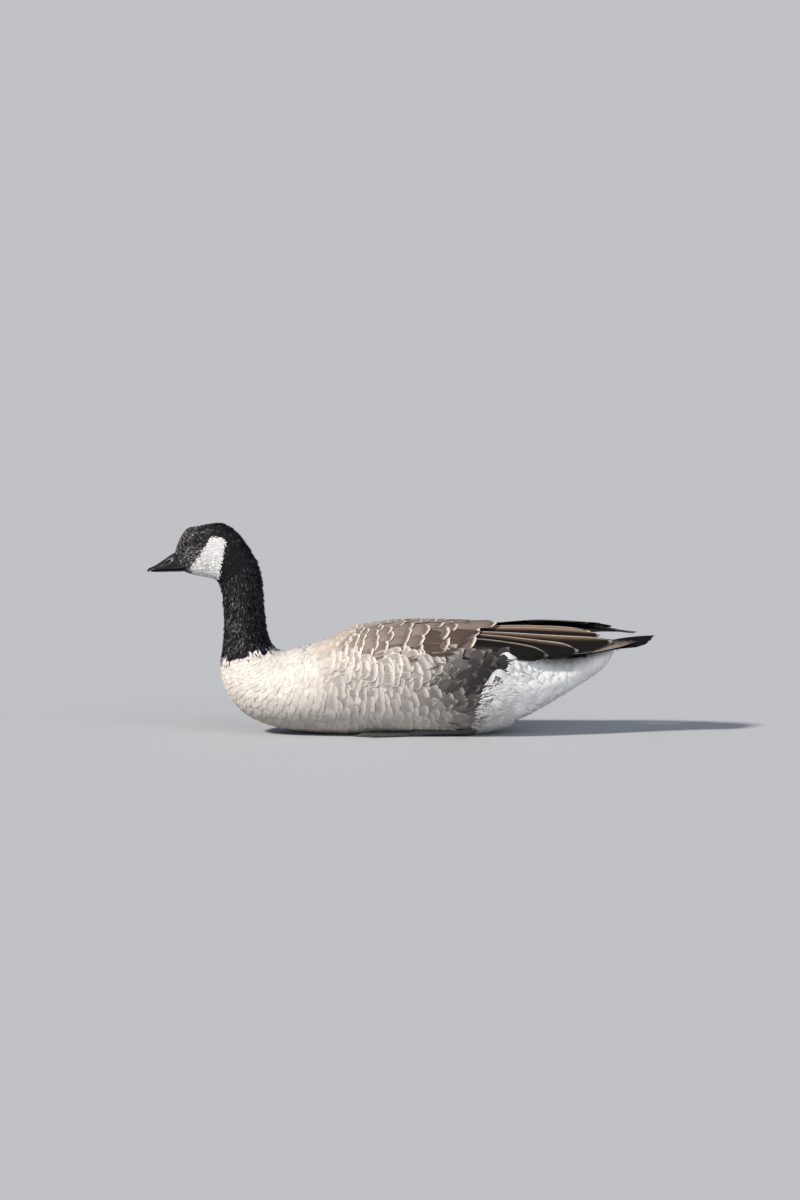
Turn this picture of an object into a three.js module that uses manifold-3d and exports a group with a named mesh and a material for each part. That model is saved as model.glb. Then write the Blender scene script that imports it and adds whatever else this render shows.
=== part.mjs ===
// A Canada goose afloat, as a still life-size museum model: it sits on its belly with the feet tucked under.
// Millimetres, +Z up. The bird faces -Y, its left side is +X, and the origin is the middle of its flat belly.
import * as THREE from "three";
import { LoftGeometry } from "three/addons/geometries/LoftGeometry.js";
import { mergeVertices } from "three/addons/utils/BufferGeometryUtils.js";
import Module from "manifold-3d";

const wasm = await Module();
wasm.setup();

// Driving dimensions of the bird
const GAP = 0.35; // kept between nodes that touch
const EYE_RADIUS = 7.5;
const EYE_CENTRE = new THREE.Vector3(12.6, -299, 284.6);
const LID_OPENING = { length: 11.4, height: 9.2, rim: 1.1 }; // the rim is the radius of the lid's roll
const TARSUS_LENGTH = 82;
const MIDDLE_TOE_LENGTH = 80;
const VANE_THICKNESS = 0.55;
const VANE_CROWN = 0.25; // how far the middle of a vane stands over its edges
const FLOOR_BLOCK = { width: 400, length: 900, depth: 40 }; // what is cut away below the floor
const CUT_WIDTH = 160; // reach of the cuts through the neck

// Mesh resolution
const BODY_RING_POINTS = 32;
const BODY_STEPS_PER_STATION = 1.25;
const EYE_SEGMENTS = [14, 10];
const LID_SEGMENTS = [5, 16];
const BILL_RING_POINTS = 16;
const UPPER_BILL_STEPS = 13;
const LOWER_BILL_STEPS = 9;
const NOSTRIL_SEGMENTS = [10, 6];
const WING_CORE_GRID = [10, 7];
const TAIL_ROOT_GRID = [4, 6];
const VANE_COLUMNS = 2;
const TARSUS_SIDES = 10;
const TOE_SIDES = 8;
const WEB_GRID = [4, 4];
const SIMPLIFY_WITHIN = 0.05;
const WELD_WITHIN = 0.004;

// Stations of the body from the rear of the undertail coverts to the base of the bill, the coat's outline.
// Each: back point y and z, belly point y and z, half width, roundness power (1 is an ellipse), lean of the
// width towards the back (negative puts it nearer the belly).
const BODY_STATIONS = [
  [317, 131.5, 315, 122, 11, 1, 0],
  [311, 131, 306, 105, 27, 0.95, 0],
  [296, 127.5, 294, 92, 41, 0.92, 0],
  [270, 121, 270, 76, 55, 0.9, 0],
  [240, 115, 240, 57, 67, 0.9, 0],
  [200, 133, 200, 34, 81, 0.9, -0.03],
  [150, 154, 150, 11, 93, 0.9, -0.03],
  [100, 162, 100, 0.5, 99.5, 0.9, -0.02],
  [50, 164.5, 50, -1.5, 102, 0.9, 0],
  [0, 165, 0, -1.5, 102.5, 0.9, 0],
  [-45, 161.5, -50, -1.5, 100, 0.9, 0],
  [-85, 150.5, -100, -0.5, 95, 0.92, 0],
  [-118, 137, -145, 3, 88.5, 0.94, 0],
  [-143, 127, -186, 10, 81, 0.96, 0],
  [-160, 122, -222, 25, 73.5, 0.98, 0],
  [-171, 120.5, -247, 48, 65, 1, 0],
  [-178.5, 122, -260, 73, 56, 1, 0],
  [-184.5, 126.5, -264, 96, 47, 1, 0],
  [-190, 134, -262, 115, 39, 1, 0],
  [-194.5, 145, -259.5, 134, 33, 1, 0],
  [-198, 162, -258, 157, 29, 1, 0],
  [-200, 185, -258.5, 182, 27, 1, 0],
  [-202, 208, -260, 202, 26, 1, 0],
  [-204.5, 231, -263.5, 215.5, 25, 1, 0],
  [-210, 254.5, -268, 223.5, 24.5, 1, -0.03],
  [-220.5, 277.5, -274, 227.5, 24.2, 0.98, -0.07],
  [-238.5, 298, -281, 229.3, 24, 0.96, -0.11],
  [-260.5, 307.5, -289, 231, 23.6, 0.95, -0.14],
  [-281, 308, -296.5, 232.5, 22.6, 0.95, -0.16],
  [-297.5, 304.5, -303, 234, 20.8, 0.95, -0.17],
  [-309.5, 298, -308, 235.3, 18.6, 0.95, -0.15],
  [-319, 289, -312, 236.4, 16.2, 0.96, -0.12],
  [-326, 277, -315, 237.4, 13.8, 0.98, -0.08],
  [-330.5, 267.5, -317.5, 238.4, 12, 1, 0],
];

// Cuts that part the neck into two lengths and set it off from the head and torso: back point, belly point.
const NODE_CUTS = [
  { back: [-184.5, 126.5], belly: [-264, 96] },
  { back: [-200, 185], belly: [-258.5, 182] },
  { back: [-214, 252], belly: [-268, 223.5] },
];

// The bill: y, culmen z, cutting-edge z, half width, underside z of the lower half.
const BILL_STATIONS = [
  [-305, 258, 244.5, 8.5, 240.5],
  [-314, 262.5, 243.6, 10.8, 239],
  [-322, 265.5, 243, 11.6, 238.2],
  [-330, 266, 242.6, 11.8, 238],
  [-336, 263, 242.3, 11.7, 238],
  [-344, 257.6, 242, 11.2, 237.8],
  [-353, 251.4, 241.6, 10.7, 237.6],
  [-361, 246.4, 241, 9.9, 237.6],
  [-366, 244, 240, 8.3, 237.8],
  [-369.5, 242.4, 238.2, 6, 238],
  [-371.3, 240.4, 237, 3.2, 236.8],
];
const LOWER_BILL_END = -366;
const LOWER_BILL_WIDTH = 0.86; // of the upper half's
const LOWER_BILL_ROUNDS_FROM = 0.7; // share of its length where its tip begins to round off
const MOUTH_GAP = 0.5;
const LIP_DROP = 1.2; // how far the upper half's belly hangs under its widest line
const NOSTRIL = { x: 8.6, y: -340.5, z: 253.4, length: 9.5, height: 3.4, depth: 4.5, slope: 0.5 };

// The folded wing's bearing surface: y, top z, widest z, half width, lower edge z.
const WING_STATIONS = [
  [-122, 139, 92, 89, 112],
  [-100, 148, 88, 95.5, 110],
  [-60, 158, 86, 101.5, 109],
  [0, 162, 85, 105, 113],
  [60, 161.5, 86, 104.5, 116],
  [120, 159.5, 92, 100, 120],
  [180, 157.5, 104, 88, 123.5],
  [240, 153, 116, 73, 128.5],
  [300, 146, 122, 61, 134.5],
  [352, 143, 130, 54, 140],
];
const WING_INNER_ANGLE = 0.2; // radians off the midline, where the wing's upper edge lies
const WING_ROLL = { start: 110, end: 290, slope: 0.11 }; // the tips' turn about Y, left side down
const WING_LIFT = { start: 120, full: 215, easing: 290, end: 345, height: 5 }; // right wing up, left one down
const WING_CORE = {
  front: -120,
  rear: 190,
  upper: 0.02, // shares of the way from the wing's upper edge to its lower one
  middle: 0.62,
  lower: 1.02,
  roundFront: 0.3, // share of the length over which the front rounds off
  thickness: 4.6,
  rearThickness: 1.2,
  rimThickness: 0.7,
  depth: 11,
};

// Tail fan: y and z of its middle line, and how far each side drops per square of its offset.
const TAIL_LINE = [
  [205, 114],
  [228, 116.5],
  [249, 121],
  [285, 130.5],
  [318, 137.5],
  [345, 141.3],
  [374, 143],
];
const TAIL_DROP = 0.0014;
const TAIL_PIVOT = 168;
const TAIL_HALF_ANGLE = 0.3;

// Tiers of vanes on each wing. Roots and tips are [y, share from the back edge to the belly edge].
const WING_TIERS = {
  primaries: {
    count: 5,
    inner: { root: [150, 0.4], tip: [300, 0.42] },
    outer: { root: [150, 0.85], tip: [352, 0.84] },
    bow: 6,
    width: [24, 19],
    raise: { root: -0.4, tip: 0.8, step: 0.4 },
    tilt: 1.2,
    rows: 4,
  },
  secondaries: {
    count: 4,
    inner: { root: [82, 0.72], tip: [250, 0.74] },
    outer: { root: [74, 0.96], tip: [206, 0.98] },
    width: [24, 21],
    raise: { root: 1.2, tip: 3.2, step: 0.45 },
    tilt: 1.4,
    rows: 4,
  },
  tertials: {
    count: 5,
    inner: { root: [66, 0.1], tip: [310, 0.16] },
    outer: { root: [60, 0.6], tip: [238, 0.78] },
    bow: 20,
    width: [30, 26],
    raise: { root: 2.3, tip: 6.1, step: 0.45 },
    tilt: 1.3,
    rows: 4,
  },
  greaterCoverts: {
    count: 7,
    inner: { root: [5, 0.32], tip: [118, 0.36] },
    outer: { root: [-22, 0.96], tip: [76, 0.99] },
    width: [28, 25],
    raise: { root: 2.9, tip: 6.2, step: 0.15 },
    tilt: 1.4,
    rows: 3,
  },
  scapulars: {
    count: 5,
    inner: { root: [-14, 0.08], tip: [134, 0.07] },
    outer: { root: [-34, 0.42], tip: [92, 0.44] },
    width: [32, 28],
    raise: { root: 3, tip: 8.2, step: 0.5 },
    tilt: 1.5,
    rows: 3,
  },
};

// Tiers of vanes on the tail, in pairs from the middle, and the root they grow from.
const TAIL_TIERS = {
  rectrices: {
    pairs: 6,
    halfAngle: TAIL_HALF_ANGLE,
    from: 52,
    to: 206,
    curve: 14,
    width: 27,
    raise: { root: -0.4, tip: 0 },
    step: { root: 1.1, tip: 1.35 },
    tilt: 0.15,
    rows: 4,
  },
  coverts: {
    pairs: 3,
    halfAngle: TAIL_HALF_ANGLE * 0.72,
    from: 46,
    to: 119,
    curve: 18,
    width: 24,
    raise: { root: 1.2, tip: 3.4 },
    step: { root: 0.6, tip: 1.2 },
    tilt: 0.15,
    rows: 3,
  },
};
const TAIL_ROOT = { near: 40, far: 106, halfAngle: 0.4, height: 6, rim: -3, depth: 14 };

// The left leg: it lies along the floor under the flank, with the webbed toes before it.
const ANKLE = new THREE.Vector3(50, 104, 9);
const TOE_ROOT = new THREE.Vector3(57, ANKLE.y - TARSUS_LENGTH, 5.4);
// Sections of the tarsus: share of the way from the ankle to the toes' root, height and radius.
const TARSUS_SECTIONS = [
  [-0.13, 17, 5.5],
  [-0.04, 10.5, 7.6],
  [0.06, 8, 7.4],
  [0.3, 6.4, 5.6],
  [0.8, 5.6, 5.4],
  [1, 5.4, 6.6],
  [1.08, 5, 4.5],
];
// Toes from the outer one in: heading off -Y, length as a share of the middle toe's, and radius.
const TOES = [
  { heading: 0.3, length: 0.82, radius: 3.5 },
  { heading: 0.1, length: 1, radius: 3.9 },
  { heading: -0.11, length: 0.78, radius: 3.4 },
];
// Sections of a toe, out to the claw's point: share of its length, then height and radius in toe radii.
const TOE_SECTIONS = [
  [-0.03, 1.14, 1.05],
  [0.3, 0.86, 1],
  [0.62, 0.81, 0.94],
  [0.9, 0.72, 0.84],
  [1, 0.72, 0.66],
  [1.13, 0.2, 0.17],
];
const WEB = { near: 0.04, far: 0.92, notch: 0.16, height: 2.6, thickness: 1.5, rise: 1.1 };
// The hind toe, as offsets from the toes' root, with its radii.
const HIND_TOE = [
  { offset: [-3, 12, -0.6], radius: 2.8 },
  { offset: [-10, 21, -2.6], radius: 2.3 },
  { offset: [-13, 26, -4.4], radius: 0.7 },
];

const SIDES = { left: 1, right: -1 };

const material = (name, color, roughness) =>
  new THREE.MeshStandardMaterial({ name, color, roughness, metalness: 0 });
const MATERIALS = {
  bodyPlumage: material("body_plumage", 0xc9bfb2, 0.85),
  blackPlumage: material("black_plumage", 0x15151a, 0.8),
  wingFeathers: material("wing_feathers", 0x7d6a5a, 0.75),
  tailFeathers: material("tail_feathers", 0x17161a, 0.6),
  billHorn: material("bill_horn", 0x121214, 0.35),
  eye: material("eye", 0x1c0f08, 0.05),
  footSkin: material("foot_skin", 0x1d1c1d, 0.5),
};

const { lerp, clamp, smoothstep } = THREE.MathUtils;
const power = (value, exponent) => Math.sign(value) * Math.abs(value) ** exponent;

// A smooth curve through rows that start with their key, as a function from a key to the row's other values.
function smoothTable(rows) {
  const keys = rows.map((row) => row[0]);
  const rising = keys[1] > keys[0] ? 1 : -1;
  const slope = (i, k) => {
    const before = rows[Math.max(i - 1, 0)];
    const after = rows[Math.min(i + 1, rows.length - 1)];
    return (after[k] - before[k]) / (after[0] - before[0]);
  };
  return (key) => {
    let i = 0;
    while (i < rows.length - 2 && (key - keys[i + 1]) * rising > 0) i++;
    const [a, b] = [rows[i], rows[i + 1]];
    const span = b[0] - a[0];
    const t = clamp((key - a[0]) / span, 0, 1);
    const [t2, t3] = [t * t, t * t * t];
    return a
      .slice(1)
      .map(
        (_, n) =>
          (2 * t3 - 3 * t2 + 1) * a[n + 1] +
          (t3 - 2 * t2 + t) * span * slope(i, n + 1) +
          (3 * t2 - 2 * t3) * b[n + 1] +
          (t3 - t2) * span * slope(i + 1, n + 1),
      );
  };
}

// A closed geometry as a manifold solid, turned to face outwards.
function solidOf(geometry, weldWithin = 1e-4) {
  const bare = new THREE.BufferGeometry().setAttribute("position", geometry.getAttribute("position"));
  const merged = mergeVertices(bare.setIndex(geometry.index), weldWithin);
  const index = merged.index.array;
  const kept = [];
  for (let i = 0; i < index.length; i += 3) {
    const [a, b, c] = [index[i], index[i + 1], index[i + 2]];
    if (a !== b && b !== c && a !== c) kept.push(a, b, c);
  }
  const build = (triVerts) =>
    new wasm.Manifold(
      new wasm.Mesh({
        numProp: 3,
        vertProperties: new Float32Array(merged.attributes.position.array),
        triVerts: new Uint32Array(triVerts),
      }),
    );
  const made = build(kept);
  return made.volume() < 0 ? build(kept.reverse()) : made;
}

// A manifold solid as a geometry.
function geometryOf(solid) {
  const mesh = solid.getMesh();
  const stride = mesh.numProp;
  const points = new Float32Array(mesh.numVert * 3);
  for (let i = 0; i < mesh.numVert; i++) {
    points.set(mesh.vertProperties.subarray(i * stride, i * stride + 3), i * 3);
  }
  const geometry = new THREE.BufferGeometry();
  geometry.setAttribute("position", new THREE.BufferAttribute(points, 3));
  geometry.setIndex(new THREE.BufferAttribute(new Uint32Array(mesh.triVerts), 1));
  geometry.computeVertexNormals();
  return geometry;
}

const union = (solids) => wasm.Manifold.union(solids);

// A capped loft through rings of points, whichever way round the rings run.
function loft(rings) {
  const middle = (ring) => ring.reduce((sum, p) => sum.add(p), new THREE.Vector3()).divideScalar(ring.length);
  const [start, next] = [middle(rings[0]), middle(rings[1])];
  const normal = new THREE.Vector3();
  rings[1].forEach((p, i) => {
    const q = rings[1][(i + 1) % rings[1].length];
    normal.add(p.clone().sub(next).cross(q.clone().sub(next)));
  });
  const turned = normal.dot(next.sub(start)) < 0 ? rings.map((ring) => ring.toReversed()) : rings;
  return solidOf(new LoftGeometry(turned, { capStart: true, capEnd: true }));
}

// The largest closed surface of a solid: sealed hollows are filled and loose scraps dropped. Points nearer to
// each other than the weld are joined.
function largest(solid) {
  const biggest = (whole) =>
    whole.decompose().reduce((best, piece) => (piece.volume() > best.volume() ? piece : best));
  return biggest(solidOf(geometryOf(biggest(solid).simplify(SIMPLIFY_WITHIN)), WELD_WITHIN));
}

// A thin plate between two grids of points. Both faces are split into triangles the same way.
function plate(rows, columns, topPoint, bottomPoint) {
  const points = [];
  for (const face of [topPoint, bottomPoint]) {
    for (let i = 0; i <= rows; i++) {
      for (let j = 0; j <= columns; j++) points.push(face(i / rows, j / columns));
    }
  }
  const at = (face, i, j) => (face * (rows + 1) + i) * (columns + 1) + j;
  const index = [];
  const quad = (a, b, c, d) => index.push(a, b, c, a, c, d);
  for (let i = 0; i < rows; i++) {
    for (let j = 0; j < columns; j++) {
      quad(at(0, i, j), at(0, i, j + 1), at(0, i + 1, j + 1), at(0, i + 1, j));
      index.push(at(1, i, j), at(1, i + 1, j + 1), at(1, i, j + 1));
      index.push(at(1, i, j), at(1, i + 1, j), at(1, i + 1, j + 1));
    }
    quad(at(0, i, 0), at(0, i + 1, 0), at(1, i + 1, 0), at(1, i, 0));
    quad(at(0, i, columns), at(1, i, columns), at(1, i + 1, columns), at(0, i + 1, columns));
  }
  for (let j = 0; j < columns; j++) {
    quad(at(0, 0, j), at(1, 0, j), at(1, 0, j + 1), at(0, 0, j + 1));
    quad(at(0, rows, j), at(0, rows, j + 1), at(1, rows, j + 1), at(1, rows, j));
  }
  const geometry = new THREE.BufferGeometry();
  geometry.setAttribute(
    "position",
    new THREE.Float32BufferAttribute(
      points.flatMap((p) => p.toArray()),
      3,
    ),
  );
  geometry.setIndex(index);
  return solidOf(geometry);
}

// Body: one loft over head, neck and torso
const bodyTable = smoothTable(BODY_STATIONS.map((station, i) => [i, ...station]));

function bodyPoint(station, angle, grow) {
  const [backY, backZ, bellyY, bellyZ, width, round, lean] = bodyTable(station);
  const up = new THREE.Vector2(backY - bellyY, backZ - bellyZ);
  const half = up.length() / 2;
  up.normalize();
  const along = (half + grow) * power(Math.cos(angle), round);
  const side = (width + grow) * power(Math.sin(angle), round) * (1 + lean * Math.cos(angle));
  return new THREE.Vector3(
    side,
    (backY + bellyY) / 2 + up.x * along,
    (backZ + bellyZ) / 2 + up.y * along,
  );
}

function bodyLoft(grow) {
  const count = Math.round((BODY_STATIONS.length - 1) * BODY_STEPS_PER_STATION);
  const rings = [];
  for (let i = 0; i <= count; i++) {
    const ring = [];
    for (let j = 0; j < BODY_RING_POINTS; j++) {
      const station = ((BODY_STATIONS.length - 1) * i) / count;
      ring.push(bodyPoint(station, (j / BODY_RING_POINTS) * 2 * Math.PI, grow));
    }
    rings.push(ring);
  }
  return loft(rings);
}

const floorBlock = solidOf(
  new THREE.BoxGeometry(FLOOR_BLOCK.width, FLOOR_BLOCK.length, FLOOR_BLOCK.depth).translate(
    0,
    0,
    -FLOOR_BLOCK.depth / 2,
  ),
);
const wholeBody = bodyLoft(0).subtract(floorBlock);
const grownBody = bodyLoft(GAP);

function cutSlab({ back, belly }) {
  const angle = Math.atan2(back[1] - belly[1], back[0] - belly[0]);
  return solidOf(
    new THREE.BoxGeometry(CUT_WIDTH, CUT_WIDTH, GAP)
      .rotateX(angle)
      .translate(0, (back[0] + belly[0]) / 2, (back[1] + belly[1]) / 2),
  );
}

const middleHeight = (piece) => {
  const box = piece.boundingBox();
  return (box.min[2] + box.max[2]) / 2;
};
const [torso, neckLower, neckUpper, bareHead] = wholeBody
  .subtract(union(NODE_CUTS.map(cutSlab)))
  .decompose()
  .sort((a, b) => middleHeight(a) - middleHeight(b));

// Head: eye sockets, lids and the seat of the bill
function eyeBall(side, grow) {
  const ball = new THREE.SphereGeometry(EYE_RADIUS + grow, ...EYE_SEGMENTS);
  return solidOf(ball.translate(side * EYE_CENTRE.x, EYE_CENTRE.y, EYE_CENTRE.z));
}

// The rolled rim of the lids: an oval ring bent onto the eyeball.
function lidRing(side) {
  const { length, height, rim } = LID_OPENING;
  const ring = new THREE.TorusGeometry(length / 2, rim, ...LID_SEGMENTS);
  const position = ring.scale(height / length, 1, 1).rotateY(Math.PI / 2).getAttribute("position");
  for (let i = 0; i < position.count; i++) {
    const [out, along, up] = [position.getX(i), position.getY(i), position.getZ(i)];
    const reach = Math.sqrt(EYE_RADIUS ** 2 - along ** 2 - up ** 2);
    position.setXYZ(i, side * (EYE_CENTRE.x + reach + out), EYE_CENTRE.y + along, EYE_CENTRE.z + up);
  }
  return solidOf(ring);
}

// Bill: upper half with nostrils and nail, lower half behind the nail
const billTable = smoothTable(BILL_STATIONS);

// Angles round one section of the bill, from the top.
const billAngles = Array.from({ length: BILL_RING_POINTS }, (_, j) => (j / BILL_RING_POINTS) * 2 * Math.PI);

function billUpper(grow) {
  const rings = [];
  for (let i = 0; i <= UPPER_BILL_STEPS; i++) {
    const share = 1 - (1 - i / UPPER_BILL_STEPS) ** 1.25;
    const y = lerp(BILL_STATIONS[0][0], BILL_STATIONS.at(-1)[0], share);
    const [culmen, edge, width] = billTable(y);
    const widest = edge + LIP_DROP;
    const ring = billAngles.map((angle) => {
      const rise = Math.cos(angle);
      const domed = rise > 0;
      const side = (width + grow) * power(Math.sin(angle), domed ? 0.9 : 0.35);
      const z = widest + (domed ? (culmen - widest) * rise ** 1.24 : -LIP_DROP * Math.abs(rise) ** 0.6);
      return new THREE.Vector3(side, y, z + grow * rise);
    });
    rings.push(ring);
  }
  return loft(rings);
}

function billLower(grow) {
  const rings = [];
  for (let i = 0; i <= LOWER_BILL_STEPS; i++) {
    const share = i / LOWER_BILL_STEPS;
    const y = lerp(BILL_STATIONS[0][0], LOWER_BILL_END, share);
    const [, edge, width, underside] = billTable(y);
    const roundedOff = Math.max(0, share - LOWER_BILL_ROUNDS_FROM) / (1.02 - LOWER_BILL_ROUNDS_FROM);
    const halfWidth = width * LOWER_BILL_WIDTH * Math.sqrt(1 - roundedOff ** 2) + grow;
    const top = edge - MOUTH_GAP;
    const middle = (top + underside) / 2;
    const half = Math.max((top - underside) / 2, 0.8) + grow;
    const ring = billAngles.map(
      (angle) =>
        new THREE.Vector3(
          halfWidth * power(Math.sin(angle), 0.7),
          y,
          middle + half * power(Math.cos(angle), 0.6),
        ),
    );
    rings.push(ring);
  }
  return loft(rings);
}

function nostril(side) {
  const { x, y, z, length, height, depth, slope } = NOSTRIL;
  const slot = new THREE.SphereGeometry(1, ...NOSTRIL_SEGMENTS).scale(depth, length / 2, height / 2);
  return solidOf(slot.rotateX(slope).translate(side * x, y, z));
}

const upperBill = billUpper(0).subtract(union([nostril(1), nostril(-1)]));
const lowerBill = billLower(0).subtract(billUpper(GAP));
const head = largest(
  union([bareHead, lidRing(1), lidRing(-1)]).subtract(
    union([eyeBall(1, GAP), eyeBall(-1, GAP), billUpper(GAP), billLower(GAP)]),
  ),
);

// Folded wing: a core that lies on the body, with tiers of vanes rooted in it
const wingTable = smoothTable(WING_STATIONS);

const wingRoll = (y) => WING_ROLL.slope * smoothstep(y, WING_ROLL.start, WING_ROLL.end);
const wingLift = (y) =>
  WING_LIFT.height *
  smoothstep(y, WING_LIFT.start, WING_LIFT.full) *
  (1 - smoothstep(y, WING_LIFT.easing, WING_LIFT.end));

// A point at y, share t from the wing's upper edge to its lower one, raised off the surface.
function wingPoint(side, y, t, raise) {
  const [top, middle, width, lower] = wingTable(y);
  const height = top - middle;
  const angle = lerp(WING_INNER_ANGLE, Math.acos((lower - middle) / height), t);
  const normal = new THREE.Vector2(height * Math.sin(angle), width * Math.cos(angle)).normalize();
  const x = side * (width * power(Math.sin(angle), 0.95) + normal.x * raise);
  const z = middle + height * power(Math.cos(angle), 0.95) + normal.y * raise;
  return new THREE.Vector3(x, y, z - x * wingRoll(y) - side * wingLift(y));
}

// How much of t a distance across the wing takes at y.
function acrossShare(y, millimetres) {
  const [upper, middle, lower] = [0, 0.5, 1].map((t) => wingPoint(1, y, t, 0));
  return millimetres / (upper.distanceTo(middle) + middle.distanceTo(lower));
}

function wingCore(side) {
  const { front, rear, upper, middle, lower, roundFront, depth } = WING_CORE;
  const breadth = (u) => Math.max(0.04, Math.sqrt(1 - (1 - Math.min(u / roundFront, 1)) ** 2));
  const spot = (u, v) => [lerp(front, rear, u), middle + breadth(u) * (lerp(upper, lower, v) - middle)];
  const raise = (u, v) => {
    const fullness = (Math.min(1, Math.min(v, 1 - v) * 4) * Math.min(1, u * 8)) ** 0.6;
    const crest = lerp(WING_CORE.thickness, WING_CORE.rearThickness, Math.max(0, u * 1.6 - 0.6));
    return lerp(WING_CORE.rimThickness, crest, fullness);
  };
  return plate(
    ...WING_CORE_GRID,
    (u, v) => wingPoint(side, ...spot(u, v), raise(u, v)),
    (u, v) => wingPoint(side, ...spot(u, v), -depth),
  );
}

// The outline of a vane: its half width, as a share of the widest, at each share of its length.
const vaneOutline = smoothTable([
  [0, 0.5],
  [0.2, 0.8],
  [0.5, 1],
  [0.78, 0.96],
  [0.92, 0.66],
  [1, 0.14],
]);

// One vane on the wing, from root to tip as [y, t], with its height over the surface at both ends.
function wingVane(side, { root, tip, width, raise, tilt, rows }) {
  const place = (u, v, drop) => {
    const along = 1 - (1 - u) ** 1.35;
    const across = (2 * v - 1) * vaneOutline(along)[0];
    const y = lerp(root[0], tip[0], along);
    const t = lerp(root[1], tip[1], along) + acrossShare(y, (across * width) / 2);
    const crown = VANE_CROWN * (1 - across * across);
    return wingPoint(side, y, t, lerp(raise.root, raise.tip, along) + tilt * across + crown - drop);
  };
  return plate(
    rows,
    VANE_COLUMNS,
    (u, v) => place(u, v, 0),
    (u, v) => place(u, v, VANE_THICKNESS),
  );
}

// A tier of like vanes, from the one nearest the back to the one nearest the belly.
function wingTier(side, { count, inner, outer, bow = 0, width, raise, tilt, rows }) {
  return Array.from({ length: count }, (_, i) => {
    const share = i / (count - 1);
    const between = (first, last) => lerp(first, last, share);
    const over = raise.step * (count - 1 - i);
    return wingVane(side, {
      root: [between(inner.root[0], outer.root[0]), between(inner.root[1], outer.root[1])],
      tip: [
        between(inner.tip[0], outer.tip[0]) + bow * 4 * share * (1 - share),
        between(inner.tip[1], outer.tip[1]),
      ],
      width: between(width[0], width[1]),
      raise: { root: raise.root + over, tip: raise.tip + over },
      tilt,
      rows,
    });
  });
}

function foldedWing(side) {
  const vanes = Object.values(WING_TIERS).flatMap((tier) => wingTier(side, tier));
  return largest(union([wingCore(side), ...vanes]).subtract(grownBody));
}

// Tail: a fan of vanes in a root that lies on the rump, under a tier of covert vanes
const tailTable = smoothTable(TAIL_LINE);

// A point on the fan at a distance from its pivot and an angle off the midline, raised off the fan.
function tailPoint(distance, angle, raise) {
  const [x, y] = [distance * Math.sin(angle), TAIL_PIVOT + distance * Math.cos(angle)];
  return new THREE.Vector3(x, y, tailTable(y)[0] - TAIL_DROP * x * x + raise);
}

function tailVane({ angle, from, to, width, raise, tilt, rows }) {
  const place = (u, v, drop) => {
    const across = (2 * v - 1) * vaneOutline(u)[0];
    const distance = lerp(from, to, u);
    const height = lerp(raise.root, raise.tip, u) - tilt * across * Math.sign(angle);
    return tailPoint(distance, angle + (across * width) / 2 / distance, height - drop);
  };
  return plate(
    rows,
    VANE_COLUMNS,
    (u, v) => place(u, v, 0),
    (u, v) => place(u, v, VANE_THICKNESS),
  );
}

// One tier of the tail: each vane lies below the one nearer the middle, and a left one below its right twin.
function tailTier({ pairs, halfAngle, from, to, curve, width, raise, step, tilt, rows }) {
  return [1, -1].flatMap((side) =>
    Array.from({ length: pairs }, (_, i) => {
      const share = (i + 0.5) / pairs;
      const under = side > 0 ? i : i + 0.5;
      return tailVane({
        angle: -side * share * halfAngle,
        from,
        to: to - curve * share * share,
        width,
        raise: { root: raise.root - step.root * under, tip: raise.tip - step.tip * under },
        tilt,
        rows,
      });
    }),
  );
}

function tailFan() {
  const { near, far, halfAngle, height, rim, depth } = TAIL_ROOT;
  const spot = (u, v) => [lerp(near, far, u), lerp(-halfAngle, halfAngle, v)];
  const arch = (from, to, share) => Math.sin(Math.PI * lerp(from, to, share)) ** 0.45;
  const hump = (u, v) => arch(0.1, 1, u) * arch(0.05, 0.95, v);
  const root = plate(
    ...TAIL_ROOT_GRID,
    (u, v) => tailPoint(...spot(u, v), height * hump(u, v) + rim),
    (u, v) => tailPoint(...spot(u, v), -depth),
  );
  return largest(union([root, ...Object.values(TAIL_TIERS).flatMap(tailTier)]).subtract(grownBody));
}

// Leg: round tubes for the tarsus and toes, with a web between each two toes
function tube(points, radii, sides) {
  const rings = points.map((point, i) => {
    const before = points[Math.max(i - 1, 0)];
    const after = points[Math.min(i + 1, points.length - 1)];
    const ahead = new THREE.Vector3().subVectors(after, before).normalize();
    const level = new THREE.Vector3(0, 0, 1).cross(ahead).normalize();
    const up = new THREE.Vector3().crossVectors(ahead, level);
    return Array.from({ length: sides }, (_, j) => {
      const angle = (j / sides) * 2 * Math.PI;
      return point
        .clone()
        .addScaledVector(level, Math.cos(angle) * radii[i])
        .addScaledVector(up, Math.sin(angle) * radii[i]);
    });
  });
  return loft(rings);
}

function tarsus() {
  const spine = TARSUS_SECTIONS.map(([share, height]) =>
    new THREE.Vector3().lerpVectors(ANKLE, TOE_ROOT, share).setZ(height),
  );
  return tube(
    spine,
    TARSUS_SECTIONS.map((section) => section[2]),
    TARSUS_SIDES,
  );
}

// A point on a toe's line, on the floor's plane.
function toePoint({ heading, length }, share) {
  const ahead = new THREE.Vector3(Math.sin(heading), -Math.cos(heading), 0);
  return TOE_ROOT.clone().addScaledVector(ahead, MIDDLE_TOE_LENGTH * length * share).setZ(0);
}

function toe(spec) {
  return tube(
    TOE_SECTIONS.map(([share, height]) => toePoint(spec, share).setZ(height * spec.radius)),
    TOE_SECTIONS.map((section) => section[2] * spec.radius),
    TOE_SIDES,
  );
}

function web(one, other) {
  const face = (height) => (u, v) => {
    const rim = new THREE.Vector3().lerpVectors(toePoint(one, WEB.far), toePoint(other, WEB.far), v);
    const share = lerp(WEB.near, 1, u) * (1 - WEB.notch * Math.sin(Math.PI * v));
    return new THREE.Vector3().lerpVectors(TOE_ROOT, rim, share).setZ(height + WEB.rise * (1 - u));
  };
  return plate(...WEB_GRID, face(WEB.height), face(WEB.height - WEB.thickness));
}

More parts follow.
